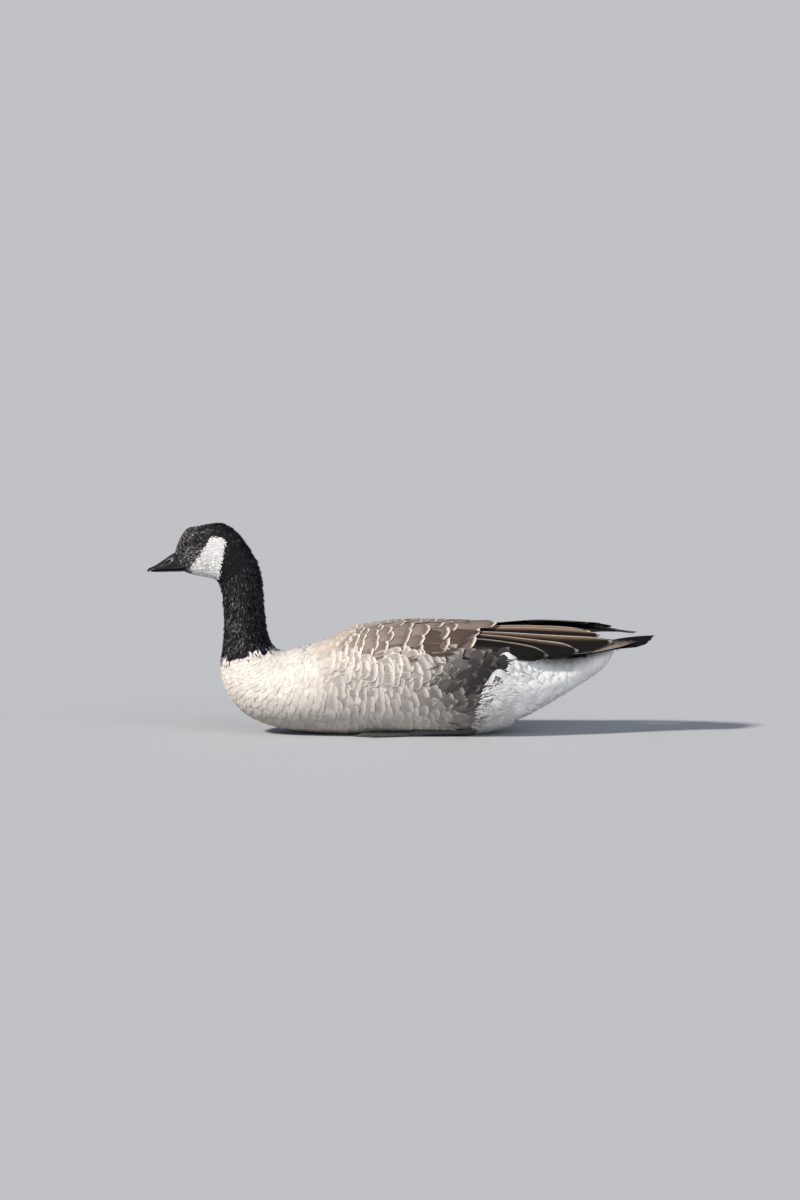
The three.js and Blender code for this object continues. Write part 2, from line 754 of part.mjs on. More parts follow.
function leg(side) {
  const hindToe = tube(
    HIND_TOE.map(({ offset }) => TOE_ROOT.clone().add(new THREE.Vector3(...offset))),
    HIND_TOE.map(({ radius }) => radius),
    TOE_SIDES,
  );
  const webs = TOES.slice(1).map((spec, i) => web(TOES[i], spec));
  const whole = union([tarsus(), hindToe, ...TOES.map(toe), ...webs]);
  const made = largest(whole.subtract(grownBody).subtract(floorBlock));
  return side > 0 ? made : made.mirror([1, 0, 0]);
}

// The scene graph: one named mesh for each node
const goose = new THREE.Group();

function addNode(name, solid, finish) {
  const mesh = new THREE.Mesh(geometryOf(solid), finish);
  mesh.name = name;
  goose.add(mesh);
}

addNode("torso", torso, MATERIALS.bodyPlumage);
addNode("neck_lower", neckLower, MATERIALS.blackPlumage);
addNode("neck_upper", neckUpper, MATERIALS.blackPlumage);
addNode("head", head, MATERIALS.blackPlumage);
addNode("bill_upper", upperBill, MATERIALS.billHorn);
addNode("bill_lower", lowerBill, MATERIALS.billHorn);
addNode("tail", tailFan(), MATERIALS.tailFeathers);
for (const [name, side] of Object.entries(SIDES)) {
  addNode(`eye_${name}`, eyeBall(side, 0), MATERIALS.eye);
  addNode(`wing_${name}`, foldedWing(side), MATERIALS.wingFeathers);
  addNode(`leg_${name}`, leg(side), MATERIALS.footSkin);
}

export default goose;
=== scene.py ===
"""The looks of a Canada goose afloat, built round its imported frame: skin, feathers, bill, eyes and feet."""

import bmesh
import bpy
import numpy as np
from bpy.props import FloatProperty, FloatVectorProperty, IntProperty, PointerProperty
from mathutils import Matrix, Vector


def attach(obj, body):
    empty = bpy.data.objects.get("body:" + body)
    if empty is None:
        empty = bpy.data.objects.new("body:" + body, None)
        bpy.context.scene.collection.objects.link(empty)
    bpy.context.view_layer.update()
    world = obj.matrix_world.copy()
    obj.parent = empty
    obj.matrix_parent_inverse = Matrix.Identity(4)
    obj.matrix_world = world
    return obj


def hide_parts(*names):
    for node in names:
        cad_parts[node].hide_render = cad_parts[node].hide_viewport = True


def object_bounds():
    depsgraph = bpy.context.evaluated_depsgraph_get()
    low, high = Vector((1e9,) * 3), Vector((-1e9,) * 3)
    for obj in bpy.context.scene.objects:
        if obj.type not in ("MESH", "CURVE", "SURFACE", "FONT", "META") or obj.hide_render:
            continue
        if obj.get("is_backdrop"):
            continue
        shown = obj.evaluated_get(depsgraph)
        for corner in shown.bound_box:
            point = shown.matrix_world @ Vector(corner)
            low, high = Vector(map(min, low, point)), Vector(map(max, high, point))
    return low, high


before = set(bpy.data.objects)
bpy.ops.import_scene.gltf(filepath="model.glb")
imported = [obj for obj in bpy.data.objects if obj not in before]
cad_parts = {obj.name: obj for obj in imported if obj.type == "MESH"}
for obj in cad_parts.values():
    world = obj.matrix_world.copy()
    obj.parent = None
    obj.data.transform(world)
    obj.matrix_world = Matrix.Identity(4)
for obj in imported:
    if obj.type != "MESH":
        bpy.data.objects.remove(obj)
cad_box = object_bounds()

bl_info = {
    "name": "Canada Goose Afloat",
    "version": (1, 0, 0),
    "blender": (4, 5, 0),
    "location": "3D View > Sidebar > Goose",
    "description": "Skin, feathers, bill, eyes and feet of a Canada goose around its packed frame",
    "category": "Object",
}

MM = 0.001
BODY = "root"
SIDES = {"left": 1, "right": -1}
# Vertices closer than this, in metres, become one
WELD = 1e-5

# Stations of the body from the rear of the undertail coverts to the base of the bill, the coat's outline in
# millimetres: back point y and z, belly point y and z, half width, roundness power, lean of the width.
BODY_STATIONS = (
    (317, 131.5, 315, 122, 11, 1, 0),
    (311, 131, 306, 105, 27, 0.95, 0),
    (296, 127.5, 294, 92, 41, 0.92, 0),
    (270, 121, 270, 76, 55, 0.9, 0),
    (240, 115, 240, 57, 67, 0.9, 0),
    (200, 133, 200, 34, 81, 0.9, -0.03),
    (150, 154, 150, 11, 93, 0.9, -0.03),
    (100, 162, 100, 0.5, 99.5, 0.9, -0.02),
    (50, 164.5, 50, -1.5, 102, 0.9, 0),
    (0, 165, 0, -1.5, 102.5, 0.9, 0),
    (-45, 161.5, -50, -1.5, 100, 0.9, 0),
    (-85, 150.5, -100, -0.5, 95, 0.92, 0),
    (-118, 137, -145, 3, 88.5, 0.94, 0),
    (-143, 127, -186, 10, 81, 0.96, 0),
    (-160, 122, -222, 25, 73.5, 0.98, 0),
    (-171, 120.5, -247, 48, 65, 1, 0),
    (-178.5, 122, -260, 73, 56, 1, 0),
    (-184.5, 126.5, -264, 96, 47, 1, 0),
    (-190, 134, -262, 115, 39, 1, 0),
    (-194.5, 145, -259.5, 134, 33, 1, 0),
    (-198, 162, -258, 157, 29, 1, 0),
    (-200, 185, -258.5, 182, 27, 1, 0),
    (-202, 208, -260, 202, 26, 1, 0),
    (-204.5, 231, -263.5, 215.5, 25, 1, 0),
    (-212.2, 254.5, -268, 223.5, 24.5, 1, -0.03),
    (-225, 276.5, -274, 227.5, 24.2, 0.98, -0.07),
    (-241.5, 297, -281, 229.3, 24, 0.96, -0.11),
    (-261, 308.8, -289, 231, 23.6, 0.95, -0.14),
    (-281, 308, -296.5, 232.5, 22.6, 0.95, -0.16),
    (-297.5, 304.5, -303, 234, 20.8, 0.95, -0.17),
    (-311, 302, -308, 235.3, 18.6, 0.95, -0.15),
    (-320.5, 291.5, -312, 236.4, 16.2, 0.96, -0.12),
    (-326.5, 278.5, -315, 237.4, 13.8, 0.98, -0.08),
    (-330.5, 267.5, -317.5, 238.4, 12, 1, 0),
)
BODY_LENGTH = len(BODY_STATIONS) - 1
# Where the coats of head, neck, body and vent down begin or end, in stations counted from the bill
HEAD_START, HEAD_END, NECK_END = 0.1, 9.0, 15.8
BODY_COAT = (14.9, 32.6)
DOWN_COAT = (25.6, 29.8)
# y of the seam between the pieces of breast and flank, and how far round from the back, in radians, the
# piece of the back reaches and that of the belly starts
BREAST_END = -104
BACK_REACH, BELLY_START = 0.9, 2.1
# Lengths and widths of the coat's feathers, in distances between their roots
HEAD_FEATHER = {"length": 2.9, "width": 1.3}
NECK_FEATHER = {"length": 3.3, "width": 1.3}
BODY_FEATHER = {"length": 2.8, "width": 2.0}
# Distance between the roots of the vent's down, in mm
DOWN_GAP = 2.5
# Where the dark flank meets the white vent: a point's y and z, and the slopes above and below it. Then the z
# up to which the white reaches
VENT_LINE = {"y": 117, "z": 88, "above": 1.33, "below": 0.3}
VENT_TOP = 128
# Steps of the skin's mesh along and round the body
SKIN_GRID = (240, 120)

# The folded wing's bearing surface: y, top z, widest z, half width, lower edge z.
WING_STATIONS = (
    (-172, 117.5, 101, 70, 116.5),
    (-122, 135.5, 92, 81, 112),
    (-100, 146, 88, 91.5, 110),
    (-80, 152.6, 86.5, 97.5, 109),
    (-60, 158, 86, 101.5, 109),
    (0, 162, 85, 105, 113),
    (60, 161.5, 86, 104.5, 116),
    (120, 159.5, 92, 100, 120),
    (180, 157.5, 104, 88, 123.5),
    (240, 153, 116, 73, 128.5),
    (300, 146, 122, 61, 134.5),
    (352, 143, 130, 54, 140),
)
# The wing's upper edge, as an angle off the top; how its rear half rolls outwards; and how the right wing's
# rear end is lifted, with the stretch of y where each sets in
WING_INNER_ANGLE = 0.2
WING_ROLL = {"start": 110, "end": 290, "slope": 0.11}
WING_LIFT = {"start": 120, "full": 215, "easing": 290, "end": 345, "height": 5}

# The tail's middle line as y and z, its sag to the sides, the fan's pivot and half angle, and the share of
# that angle that the left half takes
TAIL_LINE = ((205, 114), (228, 116.5), (249, 121), (285, 130.5), (318, 137.5), (345, 141.3), (374, 143))
TAIL_DROP = 0.0014
TAIL_PIVOT = 168
TAIL_HALF_ANGLE = 0.3
TAIL_LEFT_SHARE = 0.82

# The bill: y, culmen z, cutting-edge z, half width, underside z of the lower half.
BILL_STATIONS = (
    (-305, 258, 244.5, 8.5, 240.5),
    (-314, 262.5, 243.6, 10.8, 239),
    (-322, 265.5, 243, 11.6, 238.2),
    (-330, 266, 242.6, 11.8, 238),
    (-336, 263, 242.3, 11.7, 238),
    (-344, 257.6, 242, 11.2, 237.8),
    (-353, 251.4, 241.6, 10.7, 237.6),
    (-361, 246.4, 241, 9.9, 237.6),
    (-366, 244, 240, 8.3, 237.8),
    (-369.5, 242.4, 238.2, 6, 238),
    (-371.3, 240.4, 237, 3.2, 236.8),
)

# The lower half ends at this y; the upper one hangs over it by this much.
LOWER_BILL_END = -366
LIP_DROP = 1.2
NOSTRIL = {"y": -340.5, "z": 253.4, "length": 9.5, "height": 3.4, "depth": 2.4, "slope": 0.5}

# The left eye, how far from its middle no feathers grow, and the x from which on a place is beside the eyes
EYE = Vector((12.6, -299, 284.6))
EYE_RADIUS = 7.5
EYE_CLEAR = {"ahead": 8.8, "behind": 6.6, "above": 5.6}
EYE_SIDE = 8
# The hollow that the skin leaves behind the lids, and the steps of the meshes of eyeball and lids
EYE_HOLLOW = {"length": 8.5, "height": 7, "depth": 1.3}
EYEBALL_GRID = (48, 28)
LID_GRID = (10, 56)

# The white patch on the cheek and throat, as y and z of its outline seen from the side.
CHEEK_PATCH = (
    (-257.4, 288.6),
    (-268, 290.8),
    (-281, 289.2),
    (-288.9, 276.2),
    (-296.7, 262.7),
    (-310.2, 245.7),
    (-307, 234),
    (-302, 225),
    (-279, 225),
    (-270, 230.5),
    (-268.6, 236),
    (-265.2, 249.1),
    (-260.8, 267.2),
)


def smooth_table(rows):
    """A smooth curve through rows that start with their key, as a function from keys to the other values."""
    table = np.array(rows, float)
    keys, values = table[:, 0], table[:, 1:]
    rising = 1 if keys[1] > keys[0] else -1
    before = np.maximum(np.arange(len(keys)) - 1, 0)
    after = np.minimum(np.arange(len(keys)) + 1, len(keys) - 1)
    slopes = (values[after] - values[before]) / (keys[after] - keys[before])[:, None]

    def at(key):
        key = np.asarray(key, float)
        i = np.clip(np.searchsorted(keys * rising, key * rising) - 1, 0, len(keys) - 2)
        span = keys[i + 1] - keys[i]
        t = np.clip((key - keys[i]) / span, 0, 1)[..., None]
        span = span[..., None]
        rise = 3 * t**2 - 2 * t**3
        ends = (1 - rise) * values[i] + rise * values[i + 1]
        return ends + span * ((t**3 - 2 * t**2 + t) * slopes[i] + (t**3 - t**2) * slopes[i + 1])

    return at


def curve(*rows):
    """A smooth curve of one value, from pairs of key and value."""
    table = smooth_table(rows)
    return lambda key: table(key)[..., 0]


def power(value, exponent):
    return np.sign(value) * np.abs(value) ** exponent


def smoothstep(value, start, end):
    t = np.clip((value - start) / (end - start), 0, 1)
    return t * t * (3 - 2 * t)


def blend(share, first, second):
    """Mixes numbers or colours; share has one value for each."""
    share = np.asarray(share, float)
    if np.ndim(first) > share.ndim or np.ndim(second) > share.ndim:
        share = share[..., None]
    return np.asarray(first) * (1 - share) + np.asarray(second) * share


body_table = smooth_table([(i, *station) for i, station in enumerate(BODY_STATIONS)])
# Distances between the feathers' roots along and across the body, at stations behind the bill
along_of = curve(
    (0, 1.25), (4, 1.4), (7.5, 1.8), (9.5, 2.9), (14, 3.2), (15, 4.4), (18, 6.2), (20, 8.5), (22, 11),
    (24, 12.5), (26, 12), (28, 11), (30, 10.5), (33, 8),
)
across_of = curve(
    (0, 1.1), (4, 1.25), (7.5, 1.6), (9.5, 2.4), (14, 2.6), (15, 4.2), (18, 6.4), (20, 9), (22, 12),
    (24, 13.5), (26, 12.5), (28, 11), (30, 10), (33, 7),
)
# How high the flank's feathers reach up over the folded wing, by y
flank_top = curve(
    (-122, 124), (-91, 119), (-63, 108), (-39, 115), (-15, 125), (5, 121), (22, 119), (44, 118),
    (61, 130), (88, 131), (110, 124), (135, 117), (170, 112), (215, 108),
)
# How far the wing's feathers and its core stand off the bearing surface, by y
wing_height = curve(
    (-122, -3.5), (-100, -2.5), (-60, 1), (-20, 3.4), (20, 4.8), (50, 5.2), (105, 4.6), (140, 7), (200, 9.5)
)
core_height = curve((-94, -8), (-60, -4), (0, 0.5), (60, 2.5), (110, 1.5), (190, -1))
# How much of the shoulder's pale brown is left in the mantle, by y
mantle_share = curve((-165, 1), (-98, 0.5), (-59, 0.3), (0, 0.1), (59, 0.03), (110, 0))
wing_table = smooth_table(WING_STATIONS)
tail_table = curve(*TAIL_LINE)
bill_table = smooth_table(BILL_STATIONS)


def feather_height(y, t):
    """How far the wing's feathers stand off: less along the edge that the flank's feathers cover."""
    covered = smoothstep(y, -125, -70) * smoothstep(-y, -150, -90)
    return wing_height(y) * (1 - 0.6 * covered * smoothstep(t, 0.72, 1))


def body_point(p, q, height):
    """A point of the body p stations behind the bill's base and q radians off the back, raised by height."""
    p = np.asarray(p, float)
    table = body_table(BODY_LENGTH - p)
    back_y, back_z, belly_y, belly_z, width, roundness, lean = np.moveaxis(table, -1, 0)
    up_y, up_z = back_y - belly_y, back_z - belly_z
    length = np.hypot(up_y, up_z)
    along = (length / 2 + height) * power(np.cos(q), roundness)
    x = (width + height) * power(np.sin(q), roundness) * (1 + lean * np.cos(q))
    beyond = np.maximum(p - BODY_LENGTH, 0) * 6
    y = (back_y + belly_y) / 2 + up_y / length * along + beyond
    z = (back_z + belly_z) / 2 + up_z / length * along
    return np.stack(np.broadcast_arrays(x, y, z), -1)


def wing_surface(side):
    """The folded wing's surface, as a function of y, the share t from its upper edge down, and the height."""

    def place(y, t, height):
        top, middle, width, lower = np.moveaxis(wing_table(y), -1, 0)
        rise = top - middle
        end = np.arccos((lower - middle) / rise)
        angle = WING_INNER_ANGLE + (end - WING_INNER_ANGLE) * t
        out_x, out_z = rise * np.sin(angle), width * np.cos(angle)
        size = np.hypot(out_x, out_z)
        x = side * (width * power(np.sin(angle), 0.95) + out_x / size * height)
        z = middle + rise * power(np.cos(angle), 0.95) + out_z / size * height
        roll = WING_ROLL["slope"] * smoothstep(y, WING_ROLL["start"], WING_ROLL["end"])
        lift = (side < 0) * WING_LIFT["height"] * smoothstep(y, WING_LIFT["start"], WING_LIFT["full"])
        lift = lift * (1 - smoothstep(y, WING_LIFT["easing"], WING_LIFT["end"]))
        return np.stack(np.broadcast_arrays(x, y, z - x * roll + lift), -1)

    return place


def tail_point(distance, angle, height):
    """A point on the tail's fan at a distance from its pivot and an angle off the midline."""
    x, y = distance * np.sin(angle), TAIL_PIVOT + distance * np.cos(angle)
    return np.stack(np.broadcast_arrays(x, y, tail_table(y) - TAIL_DROP * x * x + height), -1)


def in_outline(y, z, outline):
    """Which points lie within a closed outline of y and z."""
    inside = np.zeros(np.shape(y), bool)
    for (y1, z1), (y2, z2) in zip(outline, (*outline[1:], outline[0])):
        spans = (z1 > z) != (z2 > z)
        inside ^= spans & (y < (y2 - y1) * (z - z1) / (z2 - z1 if z2 != z1 else 1) + y1)
    return inside


# Settings


def length_property(name, description, millimetres):
    return FloatProperty(name=name, description=description, default=millimetres * MM, unit="LENGTH")


def colour_property(name, description, default):
    return FloatVectorProperty(
        name=name, description=description, default=default, subtype="COLOR", min=0, max=1
    )


class GooseSizes(bpy.types.PropertyGroup):
    """Sizes of the goose's coat."""

    seed: IntProperty(name="Seed", description="Start of every random draw", default=7)
    head_depth: length_property("Head coat", "Depth of the head's coat", 1.1)
    neck_depth: length_property("Neck coat", "Depth of the neck's coat", 3)
    body_depth: length_property("Body coat", "Depth of the body's coat", 5.5)
    lid_rim: length_property("Lid rim", "Radius of the lids' roll", 0.8)
    eye_length: length_property("Eye length", "Lid opening along the head", 11.4)
    eye_height: length_property("Eye height", "Lid opening from lid to lid", 8.6)
    pupil: length_property("Pupil", "Radius of the pupil", 2.9)
    iris: length_property("Iris", "Radius of the iris", 5.4)
    barb_gap: length_property("Barb gap", "Distance between the barbs of a vane", 0.8)


class GooseColours(bpy.types.PropertyGroup):
    """Colours of the goose, as light reflected."""

    black: colour_property("Black", "Head and neck feathers", (0.0065, 0.0065, 0.009))
    white: colour_property("White", "Cheek, vent and undertail", (0.86, 0.85, 0.84))
    cream: colour_property("Cream", "Breast feathers", (0.74, 0.685, 0.625))
    fringe: colour_property("Fringe", "Pale tips of flank and back feathers", (0.76, 0.695, 0.625))
    flank: colour_property("Flank", "Centres of the flank feathers", (0.34, 0.305, 0.285))
    flank_rear: colour_property("Rear flank", "Flank feathers before the vent", (0.036, 0.033, 0.033))
    belly: colour_property("Belly", "Feathers of the belly", (0.5, 0.465, 0.425))
    shoulder: colour_property("Shoulder", "Front end of the mantle", (0.62, 0.54, 0.475))
    mantle: colour_property("Mantle", "Upper back and scapulars", (0.215, 0.165, 0.14))
    tertial: colour_property("Tertial", "Upper webs of the wing's long inner feathers", (0.21, 0.135, 0.088))
    dusky: colour_property("Dusky", "Greater coverts and inner webs", (0.065, 0.046, 0.036))
    flight: colour_property("Flight", "Primaries and secondaries", (0.009, 0.007, 0.007))
    tail: colour_property("Tail", "Tail feathers", (0.004, 0.004, 0.005))
    bill: colour_property("Bill", "Bill and lids", (0.006, 0.006, 0.0075))
    iris: colour_property("Iris", "Iris of the eye", (0.009, 0.0045, 0.003))
    foot: colour_property("Foot", "Skin of the feet", (0.022, 0.021, 0.022))
    skin: colour_property("Skin", "Skin below pale feathers", (0.5, 0.46, 0.42))
    # Painted glints: the pale grey that some black head feathers get in place of wet glints
    glint_fleck: colour_property("Fleck", "Brightest flecks of the face", (0.42, 0.4, 0.39))
    # Painted highlights: the pale tint of some strands on the neck's lit front, in place of glints
    painted_sheen: colour_property("Sheen", "Brightest strands of the neck", (0.15, 0.142, 0.138))
    worn_bill: colour_property("Worn bill", "Patches of the bill", (0.014, 0.0135, 0.016))
    worn_lid: colour_property("Worn lid", "Patches of the lids", (0.03, 0.028, 0.028))
    worn_foot: colour_property("Worn foot", "Patches of the feet", (0.05, 0.047, 0.046))
    pupil: colour_property("Pupil", "Pupil of the eye", (0.002, 0.002, 0.002))
    eye_edge: colour_property("Eye edge", "Eyeball round the iris", (0.01, 0.008, 0.007))


class GooseStage(bpy.types.PropertyGroup):
    """The floor, light and camera."""

    distance: FloatProperty(
        name="Distance", description="From the camera to the goose", default=19.6, unit="LENGTH"
    )
    elevation: FloatProperty(
        name="Elevation", description="Height angle of the camera", default=np.radians(5), unit="ROTATION"
    )
    lens: FloatProperty(name="Lens", description="Focal length in millimetres", default=400)
    target: FloatVectorProperty(
        name="Target", description="Middle of the picture", default=(0, 0, 0.196), subtype="TRANSLATION"
    )
    floor: colour_property("Floor", "The pale floor", (0.42, 0.43, 0.45))
    sky: colour_property("Sky", "Light from all round", (0.78, 0.86, 1.0))


# Shaders


class Value:
    """A node's output that Python arithmetic turns into Math nodes."""

    def __init__(self, shader, socket):
        self.shader = shader
        self.socket = socket

    def math(self, operation, *others):
        numbers = dict(enumerate((self, *others)))
        return self.shader.node("ShaderNodeMath", {"operation": operation}, numbers)

    def __add__(self, other):
        return self.math("ADD", other)

    def __sub__(self, other):
        return self.math("SUBTRACT", other)

    def __rsub__(self, other):
        return self.shader.node("ShaderNodeMath", {"operation": "SUBTRACT"}, {0: other, 1: self})

    def __mul__(self, other):
        return self.math("MULTIPLY", other)

    def __truediv__(self, other):
        return self.math("DIVIDE", other)

    def __pow__(self, other):
        return self.math("POWER", other)

    def __abs__(self):
        return self.math("ABSOLUTE")

    __radd__ = __add__
    __rmul__ = __mul__


class Shader:
    """A material's nodes round one Principled shader. Gloss is the strength of its reflection, and coat that
    of the clear layer over it."""

    def __init__(self, name, roughness, gloss=0.5, coat=0.0, coat_roughness=0.03):
        self.material = bpy.data.materials.new(name)
        self.material.use_nodes = True
        self.tree = self.material.node_tree
        self.surface = next(n for n in self.tree.nodes if n.type == "BSDF_PRINCIPLED")
        constants = {
            "Roughness": roughness,
            "Specular IOR Level": gloss,
            "Coat Weight": coat,
            "Coat Roughness": coat_roughness,
        }
        for socket, value in constants.items():
            self.surface.inputs[socket].default_value = value

    def node(self, kind, settings=None, inputs=None, output=0):
        """Adds a node: its settings first, then its sockets' values or links. Returns one output."""
        made = self.tree.nodes.new(kind)
        for name, value in (settings or {}).items():
            setattr(made, name, value)
        for key, value in (inputs or {}).items():
            if isinstance(value, Value):
                self.tree.links.new(value.socket, made.inputs[key])
            else:
                made.inputs[key].default_value = value
        return Value(self, made.outputs[output])

    def feed(self, socket, value):
        self.tree.links.new(value.socket, self.surface.inputs[socket])

    def attribute(self, name, output="Vector"):
        return self.node("ShaderNodeAttribute", {"attribute_name": name}, output=output)

    def parts(self, vector):
        """The three numbers of a vector."""
        split = self.tree.nodes.new("ShaderNodeSeparateXYZ")
        self.tree.links.new(vector.socket, split.inputs[0])
        return [Value(self, out) for out in split.outputs]

    def place(self):
        return self.node("ShaderNodeTexCoord", output="Object")

    def noise(self, scale, detail=2.0, roughness=0.5, vector=None):
        inputs = {"Vector": vector or self.place(), "Scale": scale, "Detail": detail, "Roughness": roughness}
        return self.node("ShaderNodeTexNoise", {}, inputs)

    def smooth(self, value, start, end):
        """0 below start and 1 above end, with an even rise between."""
        return self.node(
            "ShaderNodeMapRange",
            {"interpolation_type": "SMOOTHSTEP"},
            {"Value": value, "From Min": start, "From Max": end},
        )

    def mix(self, share, first, second, way="MIX"):
        settings = {"data_type": "RGBA", "blend_type": way}
        colours = {6: first, 7: second}
        for key, colour in colours.items():
            if not isinstance(colour, Value):
                colours[key] = (*colour, 1)
        return self.node("ShaderNodeMix", settings, {0: share, **colours}, output=2)

    def grey(self, value):
        """A grey of this brightness."""
        return self.node("ShaderNodeCombineXYZ", {}, {0: value, 1: value, 2: value})

    def bump(self, height, distance, strength=1.0):
        inputs = {"Height": height, "Distance": distance, "Strength": strength}
        self.feed("Normal", self.node("ShaderNodeBump", {}, inputs, output="Normal"))


def feather_material(name, roughness, gloss, shaft, barbs, soft=0.35, hair=0.4, dusk=0.0, sides=3.0):
    """Feathers: a tint for each, pale fringes, the shaft and the barbs that slant from it to the edges.

    Shaft and barbs are how much darker these are, soft how blurred the fringe's edge is, hair how much single
    strands show, dusk how much darker a vane gets towards its tip, and sides how many times narrower the
    fringe is along the sides than at the tip."""
    colours = bpy.context.scene.goose_colours
    gap = bpy.context.scene.goose_sizes.barb_gap / MM
    s = Shader(name, roughness, gloss)
    across, from_tip, from_side = s.parts(s.attribute("vane"))
    width, strength, seed = s.parts(s.attribute("look"))
    tint = s.attribute("tint", "Color")
    side = abs(across)
    slant = from_tip + side * 0.9
    strand = s.node("ShaderNodeCombineXYZ", {}, {0: slant * 1.3, 1: across * 0.12, 2: seed * 60})
    hairs = s.noise(1.0, 2, 0.6, strand) - 0.5
    wander = s.noise(260, 3) - 0.5
    edge = from_tip.math("MINIMUM", from_side * sides) + (wander * 0.8 + hairs * (hair * 3)) * width
    within = s.smooth(edge / width, 0.9 - soft, 0.9 + soft)
    shade = s.smooth(edge / width, 1.0, 4.5)
    phase = slant * (2 * np.pi / gap) + seed * 40
    barb = phase.math("SINE") * 0.5 + 0.5
    worn = s.noise(90, 2)
    dark = 1 - (1 - shade) * 0.16 - barb * barbs - (worn - 0.5) * 0.35 + hairs * hair
    dark = dark - (1 - s.smooth(from_tip, 2.0, 26.0)) * dusk
    centre = s.mix(1.0, tint, s.grey(dark), "MULTIPLY")
    quill = (1 - s.smooth(side, 0.12, 0.42)) * shaft
    centre = s.mix(quill, centre, tuple(colours.flight))
    s.feed("Base Color", s.mix((1 - within) * strength, centre, tuple(colours.fringe)))
    s.feed("Roughness", roughness + (worn - 0.5) * 0.2)
    s.bump(barb * 0.6 + (1 - s.smooth(side, 0.1, 0.6)) * shaft * 2, 0.12 * MM, 0.5)
    return s.material


def down_material(name, first, second):
    """Dark down in patches of two colours, under the long feathers."""
    s = Shader(name, roughness=0.8)
    s.feed("Base Color", s.mix(s.noise(180, 3), tuple(first), tuple(second)))
    s.bump(s.noise(600, 2), 0.3 * MM, 0.5)
    return s.material


# Mesh helpers


def sheet(steps_p, steps_q, place):
    """A bmesh grid laid on place(u, v), a function of shares from 0 to 1, with its unwrap for the bake."""
    bm = bmesh.new()
    bm.loops.layers.uv.new("OFBake")
    bmesh.ops.create_grid(bm, x_segments=steps_q, y_segments=steps_p, size=0.5, calc_uvs=True)
    flat = np.array([v.co for v in bm.verts])
    for vert, co in zip(bm.verts, place(flat[:, 1] + 0.5, flat[:, 0] + 0.5) * MM):
        vert.co = co
    return bm


def close(bm):
    """Welds a bmesh's seams, fills its open ends and turns its faces outwards."""
    bmesh.ops.remove_doubles(bm, verts=bm.verts, dist=WELD)
    bmesh.ops.holes_fill(bm, edges=[e for e in bm.edges if e.is_boundary], sides=0)
    bmesh.ops.recalc_face_normals(bm, faces=bm.faces)


def mesh_of(name, bm):
    """Turns a bmesh into a mesh."""
    mesh = bpy.data.meshes.new(name)
    bm.to_mesh(mesh)
    bm.free()
    return mesh


def piece(name, bm, material, nodes=()):
    """Makes an object of a bmesh, riding on the goose."""
    mesh = mesh_of(name, bm)
    mesh.shade_smooth()
    place_piece(name, mesh, material, nodes)


def place_piece(name, mesh, material, nodes=()):
    """Makes an object of a mesh, riding on the goose and in place of CAD nodes."""
    mesh.materials.append(material)
    made = bpy.data.objects.new(name, mesh)
    bpy.context.scene.collection.objects.link(made)
    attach(made, BODY)
    if nodes:
        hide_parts(*nodes)


def paint(mesh, name, values, kind="FLOAT_COLOR"):
    """Gives each vertex of a mesh a colour or vector."""
    layer = mesh.attributes.new(name, kind, "POINT")
    if kind == "FLOAT_COLOR":
        values = np.concatenate([values, np.ones((len(values), 1))], 1)
        layer.data.foreach_set("color", values.astype(np.float32).ravel())
    else:
        layer.data.foreach_set("vector", values.astype(np.float32).ravel())


# Feathers


class Surface:
    """A surface in millimetres on which feathers are laid."""

    def __init__(self, place, step_p, step_q):
        self.place = place
        self.steps = (step_p, step_q)

    def paces(self, p, q):
        """Millimetres for each unit of p and of q."""
        dp, dq = self.steps
        ahead = self.place(p + dp, q, 0) - self.place(p - dp, q, 0)
        beside = self.place(p, q + dq, 0) - self.place(p, q - dq, 0)
        least = 1e-3
        return (
            np.maximum(np.linalg.norm(ahead, axis=-1) / (2 * dp), least),
            np.maximum(np.linalg.norm(beside, axis=-1) / (2 * dq), least),
        )


BODY_SURFACE = Surface(body_point, 0.02, 0.01)
WING_SURFACES = {name: Surface(wing_surface(side), 0.5, 0.005) for name, side in SIDES.items()}
TAIL_SURFACE = Surface(tail_point, 0.5, 0.002)

# Outlines of feathers: the half width, as a share of the widest, at each share of the length
BLADE = curve((0, 0.4), (0.35, 0.95), (0.6, 1), (0.85, 0.7), (1, 0.12))
SQUARE = curve((0, 0.3), (0.3, 0.75), (0.6, 0.98), (0.82, 1), (0.95, 0.9), (1, 0.78))
FLIGHT = curve((0, 0.5), (0.2, 0.8), (0.5, 1), (0.78, 0.96), (0.92, 0.7), (1, 0.2))
PLAIN = curve((0, 0.5), (0.35, 0.85), (0.75, 1), (0.93, 0.98), (1, 0.88))
LANCET = curve((0, 0.5), (0.3, 1), (0.65, 0.78), (1, 0.06))
WISP = curve((0, 1), (0.5, 0.8), (1, 0.05))
# Side of a small feather's patch on the unwrap, and the share of its cell that a long feather's patch fills
SMALL_PATCH = 0.003
CELL_SHARE = 0.96


class Cut:
    """How a kind of feather is shaped: its outline, and how many faces it has along, and across on top and
    below. Bow and ragged are the shares of the length by which the tip is rounded and frayed. Crown is how
    far the vane's middle stands up, curl how far the tip does, and thick its thickness, all in mm."""

    def __init__(self, outline, rows, top, under, bow=0.1, crown=0.4, curl=0.0, thick=0.3, ragged=0.0):
        self.outline = outline
        self.rows = rows
        self.bow = bow
        self.crown = crown
        self.curl = curl
        self.thick = thick
        self.ragged = ragged
        self.along = 1 - (1 - np.arange(rows + 1) / rows) ** 1.3
        self.ring = np.concatenate([np.linspace(-1, 1, top + 1), np.linspace(1, -1, under + 1)[1:-1]])
        self.below = np.arange(len(self.ring)) > top


